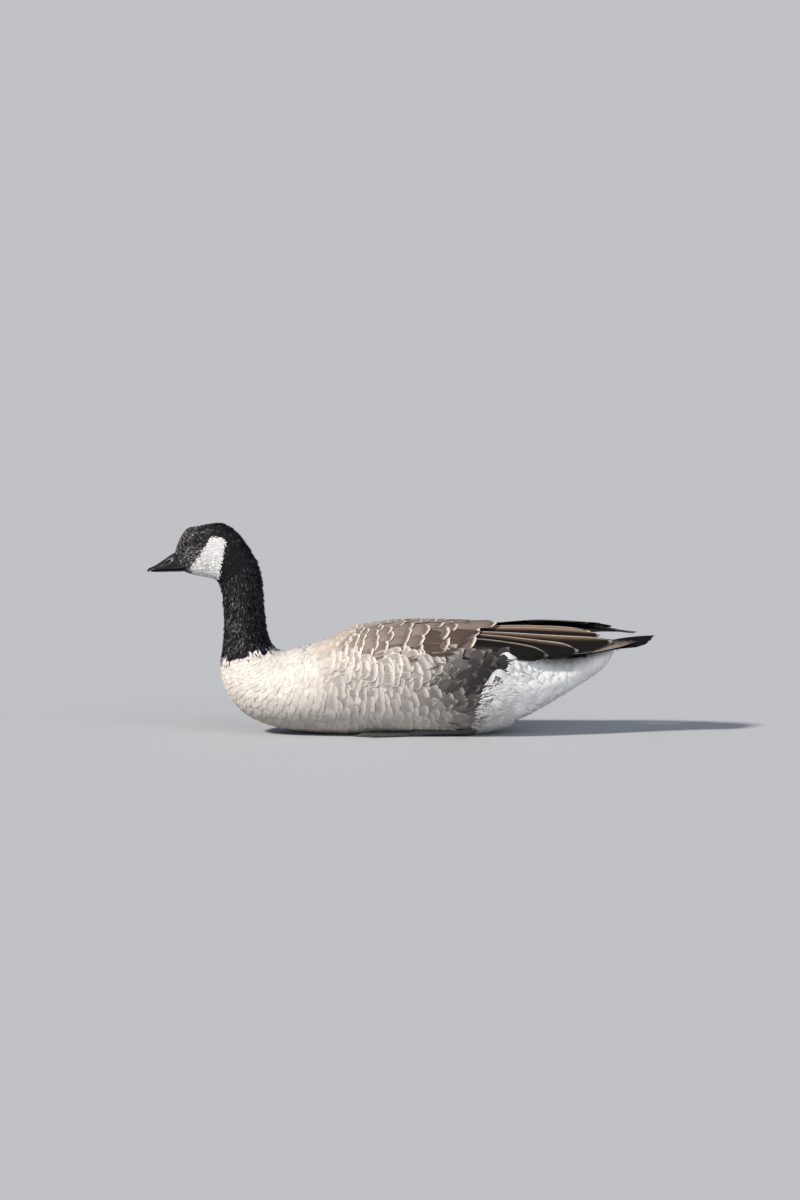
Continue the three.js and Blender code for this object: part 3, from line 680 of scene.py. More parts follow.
TINY = Cut(LANCET, 3, 2, 2, crown=0.25, thick=0.25, ragged=0.1)
NARROW = Cut(LANCET, 4, 3, 3, crown=0.45, curl=0.3, thick=0.35, ragged=0.2)
CONTOUR = Cut(SQUARE, 7, 6, 6, bow=0.1, crown=0.35, thick=0.3, ragged=0.03)
BAR = Cut(PLAIN, 7, 8, 6, bow=0.09, crown=0.15, thick=0.2, ragged=0.06)
LOOSE = Cut(BLADE, 7, 6, 6, bow=0.1, crown=0.5, thick=0.35, ragged=0.1)
COVERT = Cut(SQUARE, 8, 8, 6, bow=0.1, crown=0.8, thick=0.45, ragged=0.01)
SCALE = Cut(PLAIN, 8, 10, 6, bow=0.075, crown=0.5, thick=0.4, ragged=0.02)
QUILL = Cut(FLIGHT, 12, 8, 6, bow=0.03, crown=1.2, thick=0.6)
RECTRIX = Cut(SQUARE, 12, 8, 6, bow=0.05, crown=1.0, thick=0.6)
TUFT = Cut(WISP, 4, 1, 2, curl=0.6, thick=0.4, ragged=0.1)
# Width and strength of the rim of feathers that have none
NO_RIM = (1, 0)


def spread(values, rows, m):
    """Values for each feather, or for each of its places across, at every point of its mesh."""
    values = np.asarray(values)
    if values.ndim == 2:
        values = values[:, None]
    return np.broadcast_to(values[:, None], (len(values), rows, m, values.shape[-1]))


class Plumage:
    """Feathers gathered into one mesh."""

    def __init__(self, name):
        self.name = name
        self.points, self.loops, self.sizes, self.uvs = [], [], [], []
        self.vane, self.look, self.tint = [], [], []
        self.count = 0

    def lay(
        self, surface, root, tip, width, lift, cut, tint, fringe, chart, rng, roll=0.0, patch=SMALL_PATCH
    ):
        """Adds feathers from root to tip, both (p, q), with their heights over the surface at both ends.
        Fringe holds each one's pale rim's width and strength. Chart is each root's place on the unwrap, where
        the feather fills a patch of that side. Roll lifts the side towards more q, in mm."""
        n, rows, m = len(root), cut.rows + 1, len(cut.ring)
        if n == 0:
            return
        width = np.broadcast_to(width, n)[:, None, None]
        lift = np.broadcast_to(lift, (n, 2))
        ring = cut.ring[None, None]
        line = root[:, None] + (tip - root)[:, None] * cut.along[None, :, None]
        pace_p, pace_q = surface.paces(line[..., 0], line[..., 1])
        run = tip - root
        middle = rows // 2
        length = np.hypot(run[:, 0] * pace_p[:, middle], run[:, 1] * pace_q[:, middle])
        cosine = (run[:, 0] * pace_p[:, middle] / length)[:, None, None]
        sine = (run[:, 1] * pace_q[:, middle] / length)[:, None, None]
        half = cut.outline(cut.along)[None, :, None] * width / 2
        across = half * ring
        share = cut.along[None, :, None] ** 3
        fray = rng.uniform(-1, 0.25, (n, 1, m)) * cut.ragged * np.where(cut.below, 0.6, 1)
        along = cut.along[None, :, None] - share * (cut.bow * ring**2 - fray)
        p = root[:, None, None, 0] + run[:, None, None, 0] * along - sine * across / pace_p[..., None]
        q = root[:, None, None, 1] + run[:, None, None, 1] * along + cosine * across / pace_q[..., None]
        height = lift[:, :1, None] + (lift[:, 1:, None] - lift[:, :1, None]) * along
        dome = 1 - ring**2
        roll = np.broadcast_to(roll, n)[:, None, None]
        height = height + cut.crown * dome + roll * ring + cut.curl * along**4
        height = height - np.where(cut.below, cut.thick, 0) * dome * (1.1 - along)
        points = surface.place(p, q, height)
        from_tip = np.maximum((1 - cut.along[None, :, None]) * length[:, None, None], 0) + across * 0
        from_side = half - np.abs(across)
        seed = rng.uniform(0, 1, n)[:, None, None]
        fringe = np.broadcast_to(fringe, (n, 2)) if np.ndim(fringe) < 3 else fringe
        self.points.append(points.reshape(-1, 3))
        self.vane.append(np.stack([across, from_tip, from_side], -1).reshape(-1, 3))
        fringe = spread(fringe, rows, m)
        look = np.stack(np.broadcast_arrays(fringe[..., 0], fringe[..., 1], seed), -1)
        self.look.append(look.reshape(-1, 3))
        self.tint.append(spread(tint, rows, m).reshape(-1, 3))
        spots = np.broadcast_arrays(ring / 2 * patch, (cut.along[None, :, None] - 0.5) * patch)
        chart = chart[:, None, None] + np.stack(spots, -1)
        self.add_faces(n, rows, m, points, np.broadcast_to(chart, (n, rows, m, 2)).reshape(-1, 2))

    def add_faces(self, n, rows, m, points, chart):
        """Walls round each feather and a cap at both ends, turned outwards."""
        row, column = np.meshgrid(np.arange(rows - 1), np.arange(m), indexing="ij")
        after = (column + 1) % m
        near, far = row * m, (row + 1) * m
        walls = np.stack([near + column, near + after, far + after, far + column], -1).reshape(-1, 4)
        root_cap, tip_cap = np.arange(m)[::-1], (rows - 1) * m + np.arange(m)
        flat = points.reshape(n, rows * m, 3)
        a, b, c, d = (flat[:, walls[:, k]] for k in range(4))
        a, b, c, d = (corner - flat[:, :1] for corner in (a, b, c, d))
        volume = np.einsum("nij,nij->n", a, np.cross(b, c) + np.cross(c, d))
        one = np.concatenate([walls.ravel(), root_cap, tip_cap])
        sizes = np.concatenate([np.full(len(walls), 4), [m, m]])
        if np.median(volume) < 0:
            one = np.concatenate([walls[:, ::-1].ravel(), root_cap[::-1], tip_cap[::-1]])
        starts = np.arange(n)[:, None] * rows * m
        loops = (starts + one).ravel()
        self.loops.append(loops + self.count)
        self.sizes.append(np.tile(sizes, n))
        self.uvs.append(chart[loops])
        self.count += n * rows * m

    def finish(self, material, nodes=()):
        """Makes the piece."""
        loops, sizes = np.concatenate(self.loops), np.concatenate(self.sizes)
        mesh = bpy.data.meshes.new(self.name)
        mesh.vertices.add(self.count)
        mesh.vertices.foreach_set("co", (np.concatenate(self.points) * MM).astype(np.float32).ravel())
        mesh.loops.add(len(loops))
        mesh.loops.foreach_set("vertex_index", loops.astype(np.int32))
        mesh.polygons.add(len(sizes))
        mesh.polygons.foreach_set("loop_start", (np.cumsum(sizes) - sizes).astype(np.int32))
        mesh.update(calc_edges=True)
        mesh.shade_smooth()
        mesh.set_sharp_from_angle(angle=np.radians(70))
        chart = mesh.uv_layers.new(name="OFBake")
        chart.uv.foreach_set("vector", np.concatenate(self.uvs).astype(np.float32).ravel())
        paint(mesh, "tint", np.concatenate(self.tint))
        paint(mesh, "vane", np.concatenate(self.vane), "FLOAT_VECTOR")
        paint(mesh, "look", np.concatenate(self.look), "FLOAT_VECTOR")
        place_piece(self.name, mesh, material, nodes)


def chart_of(p, q):
    """Places of roots on an unwrap that fills the picture."""
    spots = np.stack([q, p], -1)
    low, high = spots.min(0), spots.max(0)
    return 0.01 + 0.98 * (spots - low) / (high - low)


def cell_charts(counts):
    """For tracts of long feathers: their places on an unwrap divided into cells, and the side of a patch."""
    cells = int(np.ceil(np.sqrt(sum(counts))))
    cell = np.arange(sum(counts))
    chart = (np.column_stack([cell % cells, cell // cells]) + 0.5) / cells
    return np.split(chart, np.cumsum(counts)[:-1]), CELL_SHARE / cells


def staggered(stations, along, across, rng, pace_at=None):
    """Roots in staggered rows round the body between two stations. Along and across turn a station into
    distances in mm. Rows are that far apart at their widest, or at the angle pace_at if given."""
    q = np.linspace(-np.pi, np.pi, 97)
    (p, end), row, found = stations, 0, []
    while p < end:
        pace_p, pace_q = BODY_SURFACE.paces(np.full_like(q, p), q)
        density = pace_q / across(p)
        sums = np.concatenate([[0], np.cumsum((density[1:] + density[:-1]) / 2 * np.diff(q))])
        spots = np.arange(0.3 + 0.5 * (row % 2) + rng.uniform(-0.15, 0.15), sums[-1], 1.0)
        spots = spots + rng.uniform(-0.22, 0.22, len(spots))
        at = np.interp(spots, sums, q)
        step = along(p) / (pace_p.max() if pace_at is None else np.interp(pace_at, q, pace_p))
        kept = rng.uniform(0, 1, len(at)) < np.interp(at, q, pace_p) * step / along(p) * 1.35
        jitter = rng.uniform(-0.1, 0.1, len(at)) * step
        found.append(np.stack([p + jitter, at], -1)[kept])
        p += float(step)
        row += 1
    return np.concatenate(found)


def headed(root, length, turn):
    """Tips of feathers of a length, turned off the body's own line."""
    pace_p, pace_q = BODY_SURFACE.paces(root[:, 0], root[:, 1])
    return root + np.stack([length * np.cos(turn) / pace_p, length * np.sin(turn) / pace_q], -1)


# The coat's markings


def neck_seam(q):
    """Where the black neck ends, in stations behind the bill: lowest at the back and highest beside."""
    return 15.15 + 0.2 * np.cos(q) + 0.15 * np.cos(2 * q)


def vent_line(z):
    """y of the line where the dark flank meets the white vent."""
    rise = z - VENT_LINE["z"]
    return VENT_LINE["y"] + np.where(rise > 0, VENT_LINE["above"], VENT_LINE["below"]) * rise


def mantle_tint(y):
    """The tint of mantle and scapulars, pale at the shoulder."""
    colours = bpy.context.scene.goose_colours
    return blend(mantle_share(y)[:, None], np.array(colours.mantle), np.array(colours.shoulder))


def coat_tint(place, p, q):
    """The tint of the coat's feathers and the strength of their pale rim, at places on the body."""
    colours = bpy.context.scene.goose_colours
    x, y, z = place[:, 0], place[:, 1], place[:, 2]
    tint = np.tile(np.array(colours.cream), (len(p), 1))
    rim = np.zeros(len(p))
    flank = smoothstep(y, -172, -90)
    tint = blend(flank, tint, np.array(colours.flank))
    rim = rim + flank
    rear = smoothstep(y + 0.9 * np.minimum(100 - z, 15), -35, 110)
    tint = blend(rear**1.3, tint, np.array(colours.flank_rear))
    rim = rim * (1 - 0.65 * rear)
    low = smoothstep(-z, -62, -22)
    low = low * (1 - 0.6 * rear)
    tint = blend(low, tint, np.array(colours.belly))
    rim = rim * (1 - 0.6 * low)
    edge = 102 + 12 * smoothstep(y, -60, 0)
    upper = smoothstep(z - 0.12 * np.abs(x) - edge, 0, 20) * smoothstep(y, -170, -118)
    tint = blend(upper, tint, mantle_tint(y))
    rim = np.maximum(rim, upper * smoothstep(y, -160, -105))
    rump = smoothstep(y, 120, 170) * smoothstep(z, 110, VENT_TOP)
    tint = blend(rump, tint, np.array(colours.flight))
    rim = rim * (1 - rump)
    vent = smoothstep(y - vent_line(z), 5, 9) * smoothstep(-z, -152, -126)
    tint = blend(vent, tint, np.array(colours.white))
    rim = rim * (1 - vent)
    black = p < neck_seam(q)
    tint[black] = colours.black
    rim[black] = 0
    face = black & in_outline(y, z, CHEEK_PATCH)
    tint[face] = colours.white
    return tint, rim


# Pieces

# The core under the wing's feathers runs between these y. Its lower side lies this far under the bearing
# surface, and its mesh has these steps
WING_CORE_ENDS = (-94.0, 190.0)
WING_CORE_DEPTH = 8
WING_CORE_GRID = (60, 48)
# The root under the tail's feathers: where it begins behind the pivot, its length, its width as an angle, its
# heights at the edge, at the middle over that, and below; and its mesh's steps
TAIL_ROOT = {"from": 36, "length": 76, "width": 0.78, "edge": -5, "dome": 4, "below": -13}
TAIL_ROOT_GRID = (24, 40)
# The bill's mesh, in steps along and round, and the nail at its tip: y, half length, half width, height
BILL_GRIDS = {"upper": (110, 120), "lower": (50, 64)}
NAIL = {"y": -366.5, "length": 5.6, "width": 6.4, "height": 0.3}

# Rows of coverts and scapulars, by the y of their tips; the last value ends the last row
SCAPULAR_TIPS = (-68, -55, -41, -24, -4, 22, 50, 82, 120, 162)

# Tiers of the wing: how many feathers, and rows of where in the tier (from 0 nearest the back to 1), the
# root's y and share down, the tip's y and share down, and the width. Then the heights at root and tip and
# the step between neighbours; the tints of the upper and the lower web; where one turns to the other in the
# first and the last feather; the shade of the first and the last; the rim's width, its strength at the upper
# and the lower edge, and how much of it the last feather has; and how far the feather is tilted.
WING_TIERS = {
    "primaries": {
        "count": 7,
        "rows": (
            (0, 150, 0.4, 300, 0.42, 24),
            (0.5, 150, 0.62, 332, 0.66, 22),
            (1, 150, 0.85, 350, 0.88, 19),
        ),
        "lift": (-0.4, 0.8, 0.27),
        "cut": QUILL,
        "tints": ("flight", "dusky"),
        "webs": ((0.0, 0.5), (-0.3, 0.3)),
        "shade": (0.8, 2.0),
        "rim": (2.4, 0.05, 0.25, 1.8),
        "roll": 1.2,
    },
    "secondaries": {
        "count": 8,
        "rows": ((0, 82, 0.7, 250, 0.72, 22), (1, 74, 0.97, 206, 0.985, 18)),
        "lift": (1.2, 3.2, 0.2),
        "cut": QUILL,
        "tints": ("flight", "flight"),
        "webs": ((0.0, 1.0), (0.0, 1.0)),
        "shade": (0.9, 0.7),
        "rim": (1.4, 0.0, 0.08, 0.5),
        "roll": 1.6,
    },
    "tertials": {
        "count": 5,
        "rows": (
            (0, 66, 0.14, 280, 0.1, 30),
            (0.25, 64, 0.24, 296, 0.3, 30),
            (0.5, 60, 0.34, 312, 0.86, 32),
            (0.75, 54, 0.38, 264, 1.04, 28),
            (1, 45, 0.5, 218, 1.08, 24),
        ),
        "lift": (-0.6, 7.0, -0.45),
        "cut": QUILL,
        # The black lower web of each tertial is partly its dark inner web and partly painted shade below its
        # lit upper edge
        "tints": ("tertial", "flight"),
        "webs": ((-0.55, -0.1), (-1.0, -0.7)),
        "shade": (1.0, 0.6),
        "rim": (5.5, 0.75, 0.0, 0.3),
        "roll": -2.0,
    },
    "greater_coverts": {
        "count": 8,
        "rows": ((0, 5, 0.32, 118, 0.36, 34), (1, -22, 0.97, 76, 0.99, 26)),
        "lift": (1.6, 4.2, 0.12),
        "cut": COVERT,
        "tints": ("dusky", "dusky"),
        "webs": ((0.0, 1.0), (0.0, 1.0)),
        "shade": (1.4, 0.7),
        "rim": (2.2, 0.0, 0.22, 0.4),
        "roll": 1.0,
    },
}

# Tiers of the tail, in pairs from the middle: where they begin and end behind the pivot, and how much shorter
# the outer ones are; heights at root and tip, and how far each lies below the next
TAIL_TIERS = (
    {
        "pairs": 9,
        "half_angle": TAIL_HALF_ANGLE,
        "from": 52,
        "to": 206,
        "curve": 14,
        "width": 22,
        "lift": (-0.4, 0.0),
        "step": (0.72, 0.88),
        "roll": 0.15,
        "cut": RECTRIX,
        "tint": "tail",
        "rim": (0.6, 0.0),
    },
    {
        "pairs": 5,
        "half_angle": TAIL_HALF_ANGLE * 0.8,
        "from": 46,
        "to": 121,
        "curve": 22,
        "width": 24,
        "lift": (1.2, 3.4),
        "step": (0.4, 0.75),
        "roll": 0.15,
        "cut": COVERT,
        "tint": "white",
        "rim": (1.0, 0.0),
    },
)

# Half the side of the floor, in metres
FLOOR_SIZE = 90
SKY_STRENGTH = 0.32
# The lights: where from, strength, size as an angle, and colour
LIGHTS = {
    "key": ((0.47, -0.64, 0.6), 4.6, 0.12, (1.0, 0.945, 0.875)),
    "fill": ((0.85, 0.5, 0.35), 1.3, 0.9, (0.9, 0.95, 1.0)),
}


def ruffled(p, q, pace):
    """How much feathers are ruffled, from 0 to 1, in waves that follow each other at a pace along p."""
    return smoothstep(np.sin(p * pace + 2.2 * np.sin(q * 7)), 0.2, 1)


def neck_coat_depth(p):
    """Depth in mm of the coat where the head's passes into the neck's."""
    sizes = bpy.context.scene.goose_sizes
    return blend(smoothstep(p, 7.5, 11), sizes.head_depth / MM, sizes.neck_depth / MM)


def coat_depth(p, place):
    """How far the skin lies under the coat's outline, deeper behind the lids."""
    body_depth = bpy.context.scene.goose_sizes.body_depth / MM
    depth = blend(smoothstep(p, 14.5, 19), neck_coat_depth(p), body_depth)
    depth = depth * np.clip(0.35 + 0.65 * p, 0, 1)
    x, y, z = np.moveaxis(place, -1, 0)
    near = np.hypot((y - EYE.y) / EYE_HOLLOW["length"], (z - EYE.z) / EYE_HOLLOW["height"])
    return depth + EYE_HOLLOW["depth"] * (1 - smoothstep(near, 0.55, 1.1)) * (np.abs(x) > EYE_SIDE)


def make_skin():
    """One skin under head, neck and body."""
    colours = bpy.context.scene.goose_colours
    markings = []

    def at(u, v):
        p, q = u * BODY_LENGTH, v * 2 * np.pi
        outer = body_point(p, q, 0)
        tint, _ = coat_tint(outer, p, q)
        markings.append(blend(0.3, tint, tint * np.array(colours.skin)))
        return body_point(p, q, -coat_depth(p, outer))

    bm = sheet(*SKIN_GRID, at)
    layer = bm.verts.layers.float_color.new("tint")
    for vert, colour in zip(bm.verts, markings[0]):
        vert[layer] = (*colour, 1)
    close(bm)
    s = Shader("goose_skin", roughness=0.8)
    worn = s.noise(220, 3)
    s.feed("Base Color", s.mix(1.0, s.attribute("tint", "Color"), s.grey(0.75 + worn * 0.4), "MULTIPLY"))
    s.feed("Roughness", 0.7 + worn * 0.2)
    s.bump(s.noise(700, 2), 0.3 * MM, 0.4)
    piece("skin", bm, s.material, ("torso", "neck_lower", "neck_upper", "head"))


def by_side(name, root, lay, material):
    """Lays the left and the right feathers of a tract as two pieces."""
    for side_name, side in SIDES.items():
        coat = Plumage(f"{name}_{side_name}")
        lay(coat, root[np.sign(root[:, 1]) == side])
        coat.finish(material)


def make_head_feathers():
    """Small feathers of the head, from the bill to the nape, with the white cheek patch."""
    colours = bpy.context.scene.goose_colours
    rng = np.random.default_rng(bpy.context.scene.goose_sizes.seed)
    depth = bpy.context.scene.goose_sizes.head_depth / MM
    root = staggered((HEAD_START, HEAD_END), along_of, across_of, rng)
    x, y, z = body_point(root[:, 0], root[:, 1], 0).T
    reach = np.where(y < EYE.y, EYE_CLEAR["ahead"], EYE_CLEAR["behind"])
    lids = np.hypot((y - EYE.y) / reach, (z - EYE.z) / EYE_CLEAR["above"])
    root = root[(lids > 1) | (np.abs(x) < EYE_SIDE)]

    def lay(coat, root):
        p, q = root[:, 0], root[:, 1]
        place = body_point(p, q, 0)
        n = len(p)
        nape = smoothstep(p, 4.5, 8) * smoothstep(np.cos(q), 0.45, 0.95)
        brow = smoothstep(-p, -6.5, -1.5) * smoothstep(np.cos(q), -0.2, 0.7)
        face = smoothstep(-place[:, 1], 276, 300) * smoothstep(-place[:, 2], -304, -262)
        front = np.maximum(face, brow)
        ruffle = ruffled(p, q, 9)
        length = along_of(p) * HEAD_FEATHER["length"] * rng.uniform(0.85, 1.15, n)
        length = length * (1 + nape * rng.uniform(0, 1, n))
        tip = headed(root, length, rng.normal(0, 0.2, n))
        wander = rng.normal(0, 1.3, (n, 2))
        tint, _ = coat_tint(place + np.column_stack([p * 0, wander]), p, q)
        black = tint[:, 0] < 0.1
        tint = tint * rng.uniform(0.8, 1.15, (n, 1))
        # Painted glints: some black feathers, most of all on face and brow, are tinted pale grey in place of
        # wet glints
        glint_flecks = np.where(black & (rng.uniform(0, 1, n) < 0.04 + 0.42 * front), rng.uniform(0.1, 1, n), 0)
        tint = blend(glint_flecks, tint, np.array(colours.glint_fleck) * (0.2 + 0.8 * front)[:, None])
        rise = rng.uniform(-0.2, 0.4, n) + (rng.uniform(0, 1, n) < 0.12) * rng.uniform(0.3, 0.9, n)
        rise = rise + nape * ruffle * rng.uniform(0.4, 3.6, n) + brow * ruffle * rng.uniform(0, 1, n)
        lift = np.column_stack([np.full(n, -depth) * np.clip(0.3 + p, 0, 1), rise])
        width = across_of(p) * HEAD_FEATHER["width"] * (1 + 0.4 * nape)
        chart = chart_of(p, np.abs(q))
        roll = rng.normal(0, 0.22, n)
        coat.lay(BODY_SURFACE, root, tip, width, lift, TINY, tint, NO_RIM, chart, rng, roll)

    material = feather_material("head_feather", roughness=0.48, gloss=0.15, shaft=0.0, barbs=0.08)
    by_side("head_feathers", root, lay, material)


def make_neck_feathers():
    """Narrow, furrowed feathers of the neck."""
    colours = bpy.context.scene.goose_colours
    rng = np.random.default_rng(bpy.context.scene.goose_sizes.seed + 1)
    root = staggered((HEAD_END, NECK_END), along_of, across_of, rng)
    root = root[root[:, 0] < neck_seam(root[:, 1]) + 0.25]

    def lay(coat, root):
        p, q = root[:, 0], root[:, 1]
        n = len(p)
        length = along_of(p) * NECK_FEATHER["length"] * rng.uniform(0.8, 1.2, n)
        tip = headed(root, length, rng.normal(0, 0.16, n))
        furrow = np.sin(q * 17 + p * 2.2 + 1.5 * np.sin(p * 1.7 + q * 3))
        rise = 0.1 + 0.6 * furrow + rng.uniform(-0.4, 0.8, n)
        rise = rise + (rng.uniform(0, 1, n) < 0.15) * rng.uniform(0.3, 1.3, n)
        nape = smoothstep(np.cos(q), 0.55, 0.95) * smoothstep(-p, -14, -9)
        ruffle = ruffled(p, q, 7)
        rise = rise + nape * (rng.uniform(-0.4, 1.2, n) + 2 * ruffle * rng.uniform(0, 1, n))
        tint = np.array(colours.black) * rng.uniform(0.6, 1.2, (n, 1))
        # Painted highlights: some strands on the front of the neck, the side the key light falls on, are
        # tinted pale in place of glints
        painted_sheen = smoothstep(-np.cos(q), -0.4, 0.5) * smoothstep(p, 6, 10)
        painted_sheen = painted_sheen * (rng.uniform(0, 1, n) < 0.25) * rng.uniform(0.05, 1, n) ** 1.5
        tint = blend(painted_sheen, tint, np.array(colours.painted_sheen))
        width = across_of(p) * NECK_FEATHER["width"]
        chart = chart_of(p, np.abs(q))
        roll = rng.normal(0, 0.5, n)
        lift = np.column_stack([-neck_coat_depth(p), rise])
        coat.lay(BODY_SURFACE, root, tip, width, lift, NARROW, tint, NO_RIM, chart, rng, roll)

    material = feather_material("neck_feather", roughness=0.36, gloss=0.22, shaft=0.0, barbs=0.1)
    by_side("neck_feathers", root, lay, material)


def under_wing(place):
    """Which places on the body the folded wing hides."""
    x, y, z = place[:, 0], place[:, 1], place[:, 2]
    edge = np.maximum(flank_top(y + 18) - 9, wing_table(y)[:, 3] - 3)
    return (y > -84) & (y < 212) & (z > edge) & (np.abs(x) > 21)


def wing_clearance(place):
    """How far a place by the wing's edges must be raised to lie on the wing's feathers."""
    x, y, z = np.abs(place[:, 0]), place[:, 1], place[:, 2]
    top, middle, width, lower = wing_table(y).T
    above = np.maximum(z - middle, 1)
    out, up = x / width, above / (top - middle)
    gap = (1 / np.hypot(out, up) - 1) * np.hypot(x, above)
    end = np.arccos((lower - middle) / (top - middle))
    t = (np.arctan2(out, up) - WING_INNER_ANGLE) / (end - WING_INNER_ANGLE)
    rear = 130 + 85 * smoothstep(x, 20, 45)
    along = smoothstep(y, -168, -112) * smoothstep(rear - y, 0, 25)
    over = 1.0 + 1.3 * smoothstep(t, 0.5, 0.9)
    return np.clip(gap + feather_height(y, t) + over, 0, 14) * smoothstep(z - lower, -42, 4) * along


def make_body_feathers():
    """Contour feathers of breast, flanks, back and belly, and the white vent and undertail coverts."""
    rng = np.random.default_rng(bpy.context.scene.goose_sizes.seed + 2)
    root = staggered(BODY_COAT, along_of, across_of, rng, pace_at=1.45)
    root = root[root[:, 0] > neck_seam(root[:, 1]) - 0.1]
    root = root[~under_wing(body_point(root[:, 0], root[:, 1], 0))]
    _, y, z = body_point(root[:, 0], root[:, 1], 0).T
    q, off = root[:, 1], np.abs(root[:, 1])
    behind, low, vent = y >= BREAST_END, z < VENT_TOP, y > vent_line(z) - 4
    regions = {
        "breast_feathers_left": ~behind & (q > 0),
        "breast_feathers_right": ~behind & (q <= 0),
        "back_feathers": behind & (off < BACK_REACH) & ~(vent & low),
        "belly_feathers": behind & (off > BELLY_START) & ~vent,
        "vent_feathers": behind & vent & ((off >= BACK_REACH) | low),
    }
    flank = ~np.any(list(regions.values()), axis=0)
    regions["flank_feathers_left"] = flank & (q > 0)
    regions["flank_feathers_right"] = flank & (q < 0)
    look = {"roughness": 0.65, "gloss": 0.12, "shaft": 0.1, "barbs": 0.06}
    material = feather_material("body_feather", **look, soft=0.8, hair=0.7, sides=6.0)
    for name, chosen in regions.items():
        lay_body(name, root[chosen], material, rng)


def lay_body(name, root, material, rng):
    """One piece of the body's coat."""
    p, q = root[:, 0], root[:, 1]
    n = len(p)
    place = body_point(p, q, 0)
    x, y, z = place.T
    tint, rim = coat_tint(place, p, q)
    # How much each feather is one of the rear flank's loose ones, the ruffled vent or the undertail coverts
    white = y > vent_line(z) + 7
    loose = smoothstep(y, -10, 90) * ~white
    vent = white * smoothstep(-y, -230, -190)
    undertail = smoothstep(y, 205, 250) * smoothstep(-z, -118, -108)
    size = rng.uniform(0.88, 1.12, n)
    length = along_of(p) * (BODY_FEATHER["length"] + 1.2 * undertail) * size
    # The flank's broad bars, which turn up towards the wing
    off = np.abs(q) + rng.normal(0, 0.12, n)
    flank = smoothstep(-np.abs(off - 1.35), -0.95, -0.35) * smoothstep(y, -150, -90)
    broad = BODY_FEATHER["width"] + 0.4 * undertail - 0.5 * np.maximum(loose, vent)
    width = across_of(p) * (broad + 0.7 * flank * (1 - loose)) * size
    turned = flank * smoothstep(y, -70, 60) * smoothstep(-y, -200, -150)
    tip = headed(root, length, -np.sign(q) * 0.5 * turned + rng.normal(0, 0.06 + 0.2 * loose, n))
    # The coat rises onto the wings' edges, less so at the shoulder
    ridge = smoothstep(-np.abs(x), -48, -24) * smoothstep(-y, 96, 118)
    front = np.maximum(smoothstep(-y, 118, 140), ridge)
    shoulder = front * smoothstep(y, -170, -148) * smoothstep(z, 96, 118)
    raised = wing_clearance(body_point(tip[:, 0], tip[:, 1], 0)) - 2.5 * shoulder
    root_raised = wing_clearance(place) - 2.5 * shoulder
    rise = raised + rng.uniform(-0.2, 0.3, n)
    rise = rise + loose * rng.uniform(-0.5, 1.6, n) + vent * rng.uniform(0, 1.6, n)
    base = -1.2 + 0.5 * flank - 0.015 * length + 0.85 * np.minimum(root_raised, raised) - vent * 1.2
    lift = np.column_stack([base, rise])
    tint = tint * rng.uniform(0.9, 1.08, (n, 1)) * (1 - 0.25 * loose * rng.uniform(-0.4, 1, n))[:, None]
    # Rims are wide on the flank and fade on loose feathers
    soft = smoothstep(-z, -130, -112) + 0.6 * flank
    rim_width = rng.uniform(1.6, 2.4, n) + 3.0 * np.minimum(soft, 1)
    strength = rim * rng.uniform(0.6, 1, n) * (1 - 0.2 * flank) * (1 - 0.25 * loose)
    fringe = np.column_stack([rim_width, strength])
    # Feathers tilt with the slope up to the wing
    roll = rng.normal(0, 0.3, n) * (1 - 0.5 * flank) + loose * rng.normal(0, 0.6, n)
    beside = np.column_stack([np.zeros(n), width / 2 / BODY_SURFACE.paces(tip[:, 0], tip[:, 1])[1]])
    upper, lower = (wing_clearance(body_point(*spot.T, 0)) for spot in (tip + beside, tip - beside))
    roll = roll + 0.5 * (upper - lower) * smoothstep(np.abs(q), 0.6, 1)
    chart = chart_of(p, q)
    ragged = loose + vent + rng.uniform(-0.3, 0.3, n) >= 0.5
    bars = ~ragged & (flank > 0.3)
    coat = Plumage(name)
    for cut, chosen in ((CONTOUR, ~ragged & ~bars), (BAR, bars), (LOOSE, ragged)):
        rims = np.repeat(fringe[chosen][:, None], len(cut.ring), 1)
        if cut is LOOSE:
            rims[..., 1] *= 1 - 0.85 * smoothstep(np.abs(cut.ring), 0.3, 1)
        feathers = (values[chosen] for values in (root, tip, width, lift))
        looks = (tint[chosen], rims, chart[chosen], rng, roll[chosen])
        coat.lay(BODY_SURFACE, *feathers, cut, *looks)
    coat.finish(material)


def make_tufts():
    """Loose white down before the undertail coverts."""
    rng = np.random.default_rng(bpy.context.scene.goose_sizes.seed + 3)
    root = staggered(DOWN_COAT, lambda p: DOWN_GAP, lambda p: DOWN_GAP, rng)
    place = body_point(root[:, 0], root[:, 1], 0)
    back = place[:, 1] - vent_line(place[:, 2])
    inside = (back > 4) & (back < 58) & (place[:, 2] < VENT_TOP) & ~under_wing(place)
    root, place = root[inside], place[inside]
    n = len(root)
    height = smoothstep(place[:, 2], 90, 122)
    length = rng.uniform(11, 20, n) * (1 + 0.35 * height)
    tip = headed(root, length, -np.sign(root[:, 1]) * 0.3 + rng.normal(0, 0.25, n))
    lift = np.column_stack([np.full(n, -1.5), rng.uniform(1, 4, n) + 3.5 * height * rng.uniform(0, 1, n)])
    tint = np.array(bpy.context.scene.goose_colours.white) * rng.uniform(0.92, 1.05, (n, 1))
    width = rng.uniform(0.9, 2, n)
    coat = Plumage("vent_tufts")
    coat.lay(BODY_SURFACE, root, tip, width, lift, TUFT, tint, NO_RIM, chart_of(*root.T), rng)
    material = feather_material("down", roughness=0.75, gloss=0.1, shaft=0.0, barbs=0.0)
    coat.finish(material)


def tier_tract(tier):
    """Roots, tips, widths and lifts of one tier, from the feather nearest the back downwards."""
    count = tier["count"]
    ends = smooth_table(tier["rows"])(np.linspace(0, 1, count))
    at_root, at_tip, step = tier["lift"]
    over = step * np.arange(count)[::-1]
    return ends[:, :2], ends[:, 2:4], ends[:, 4], np.column_stack([at_root + over, at_tip + over])


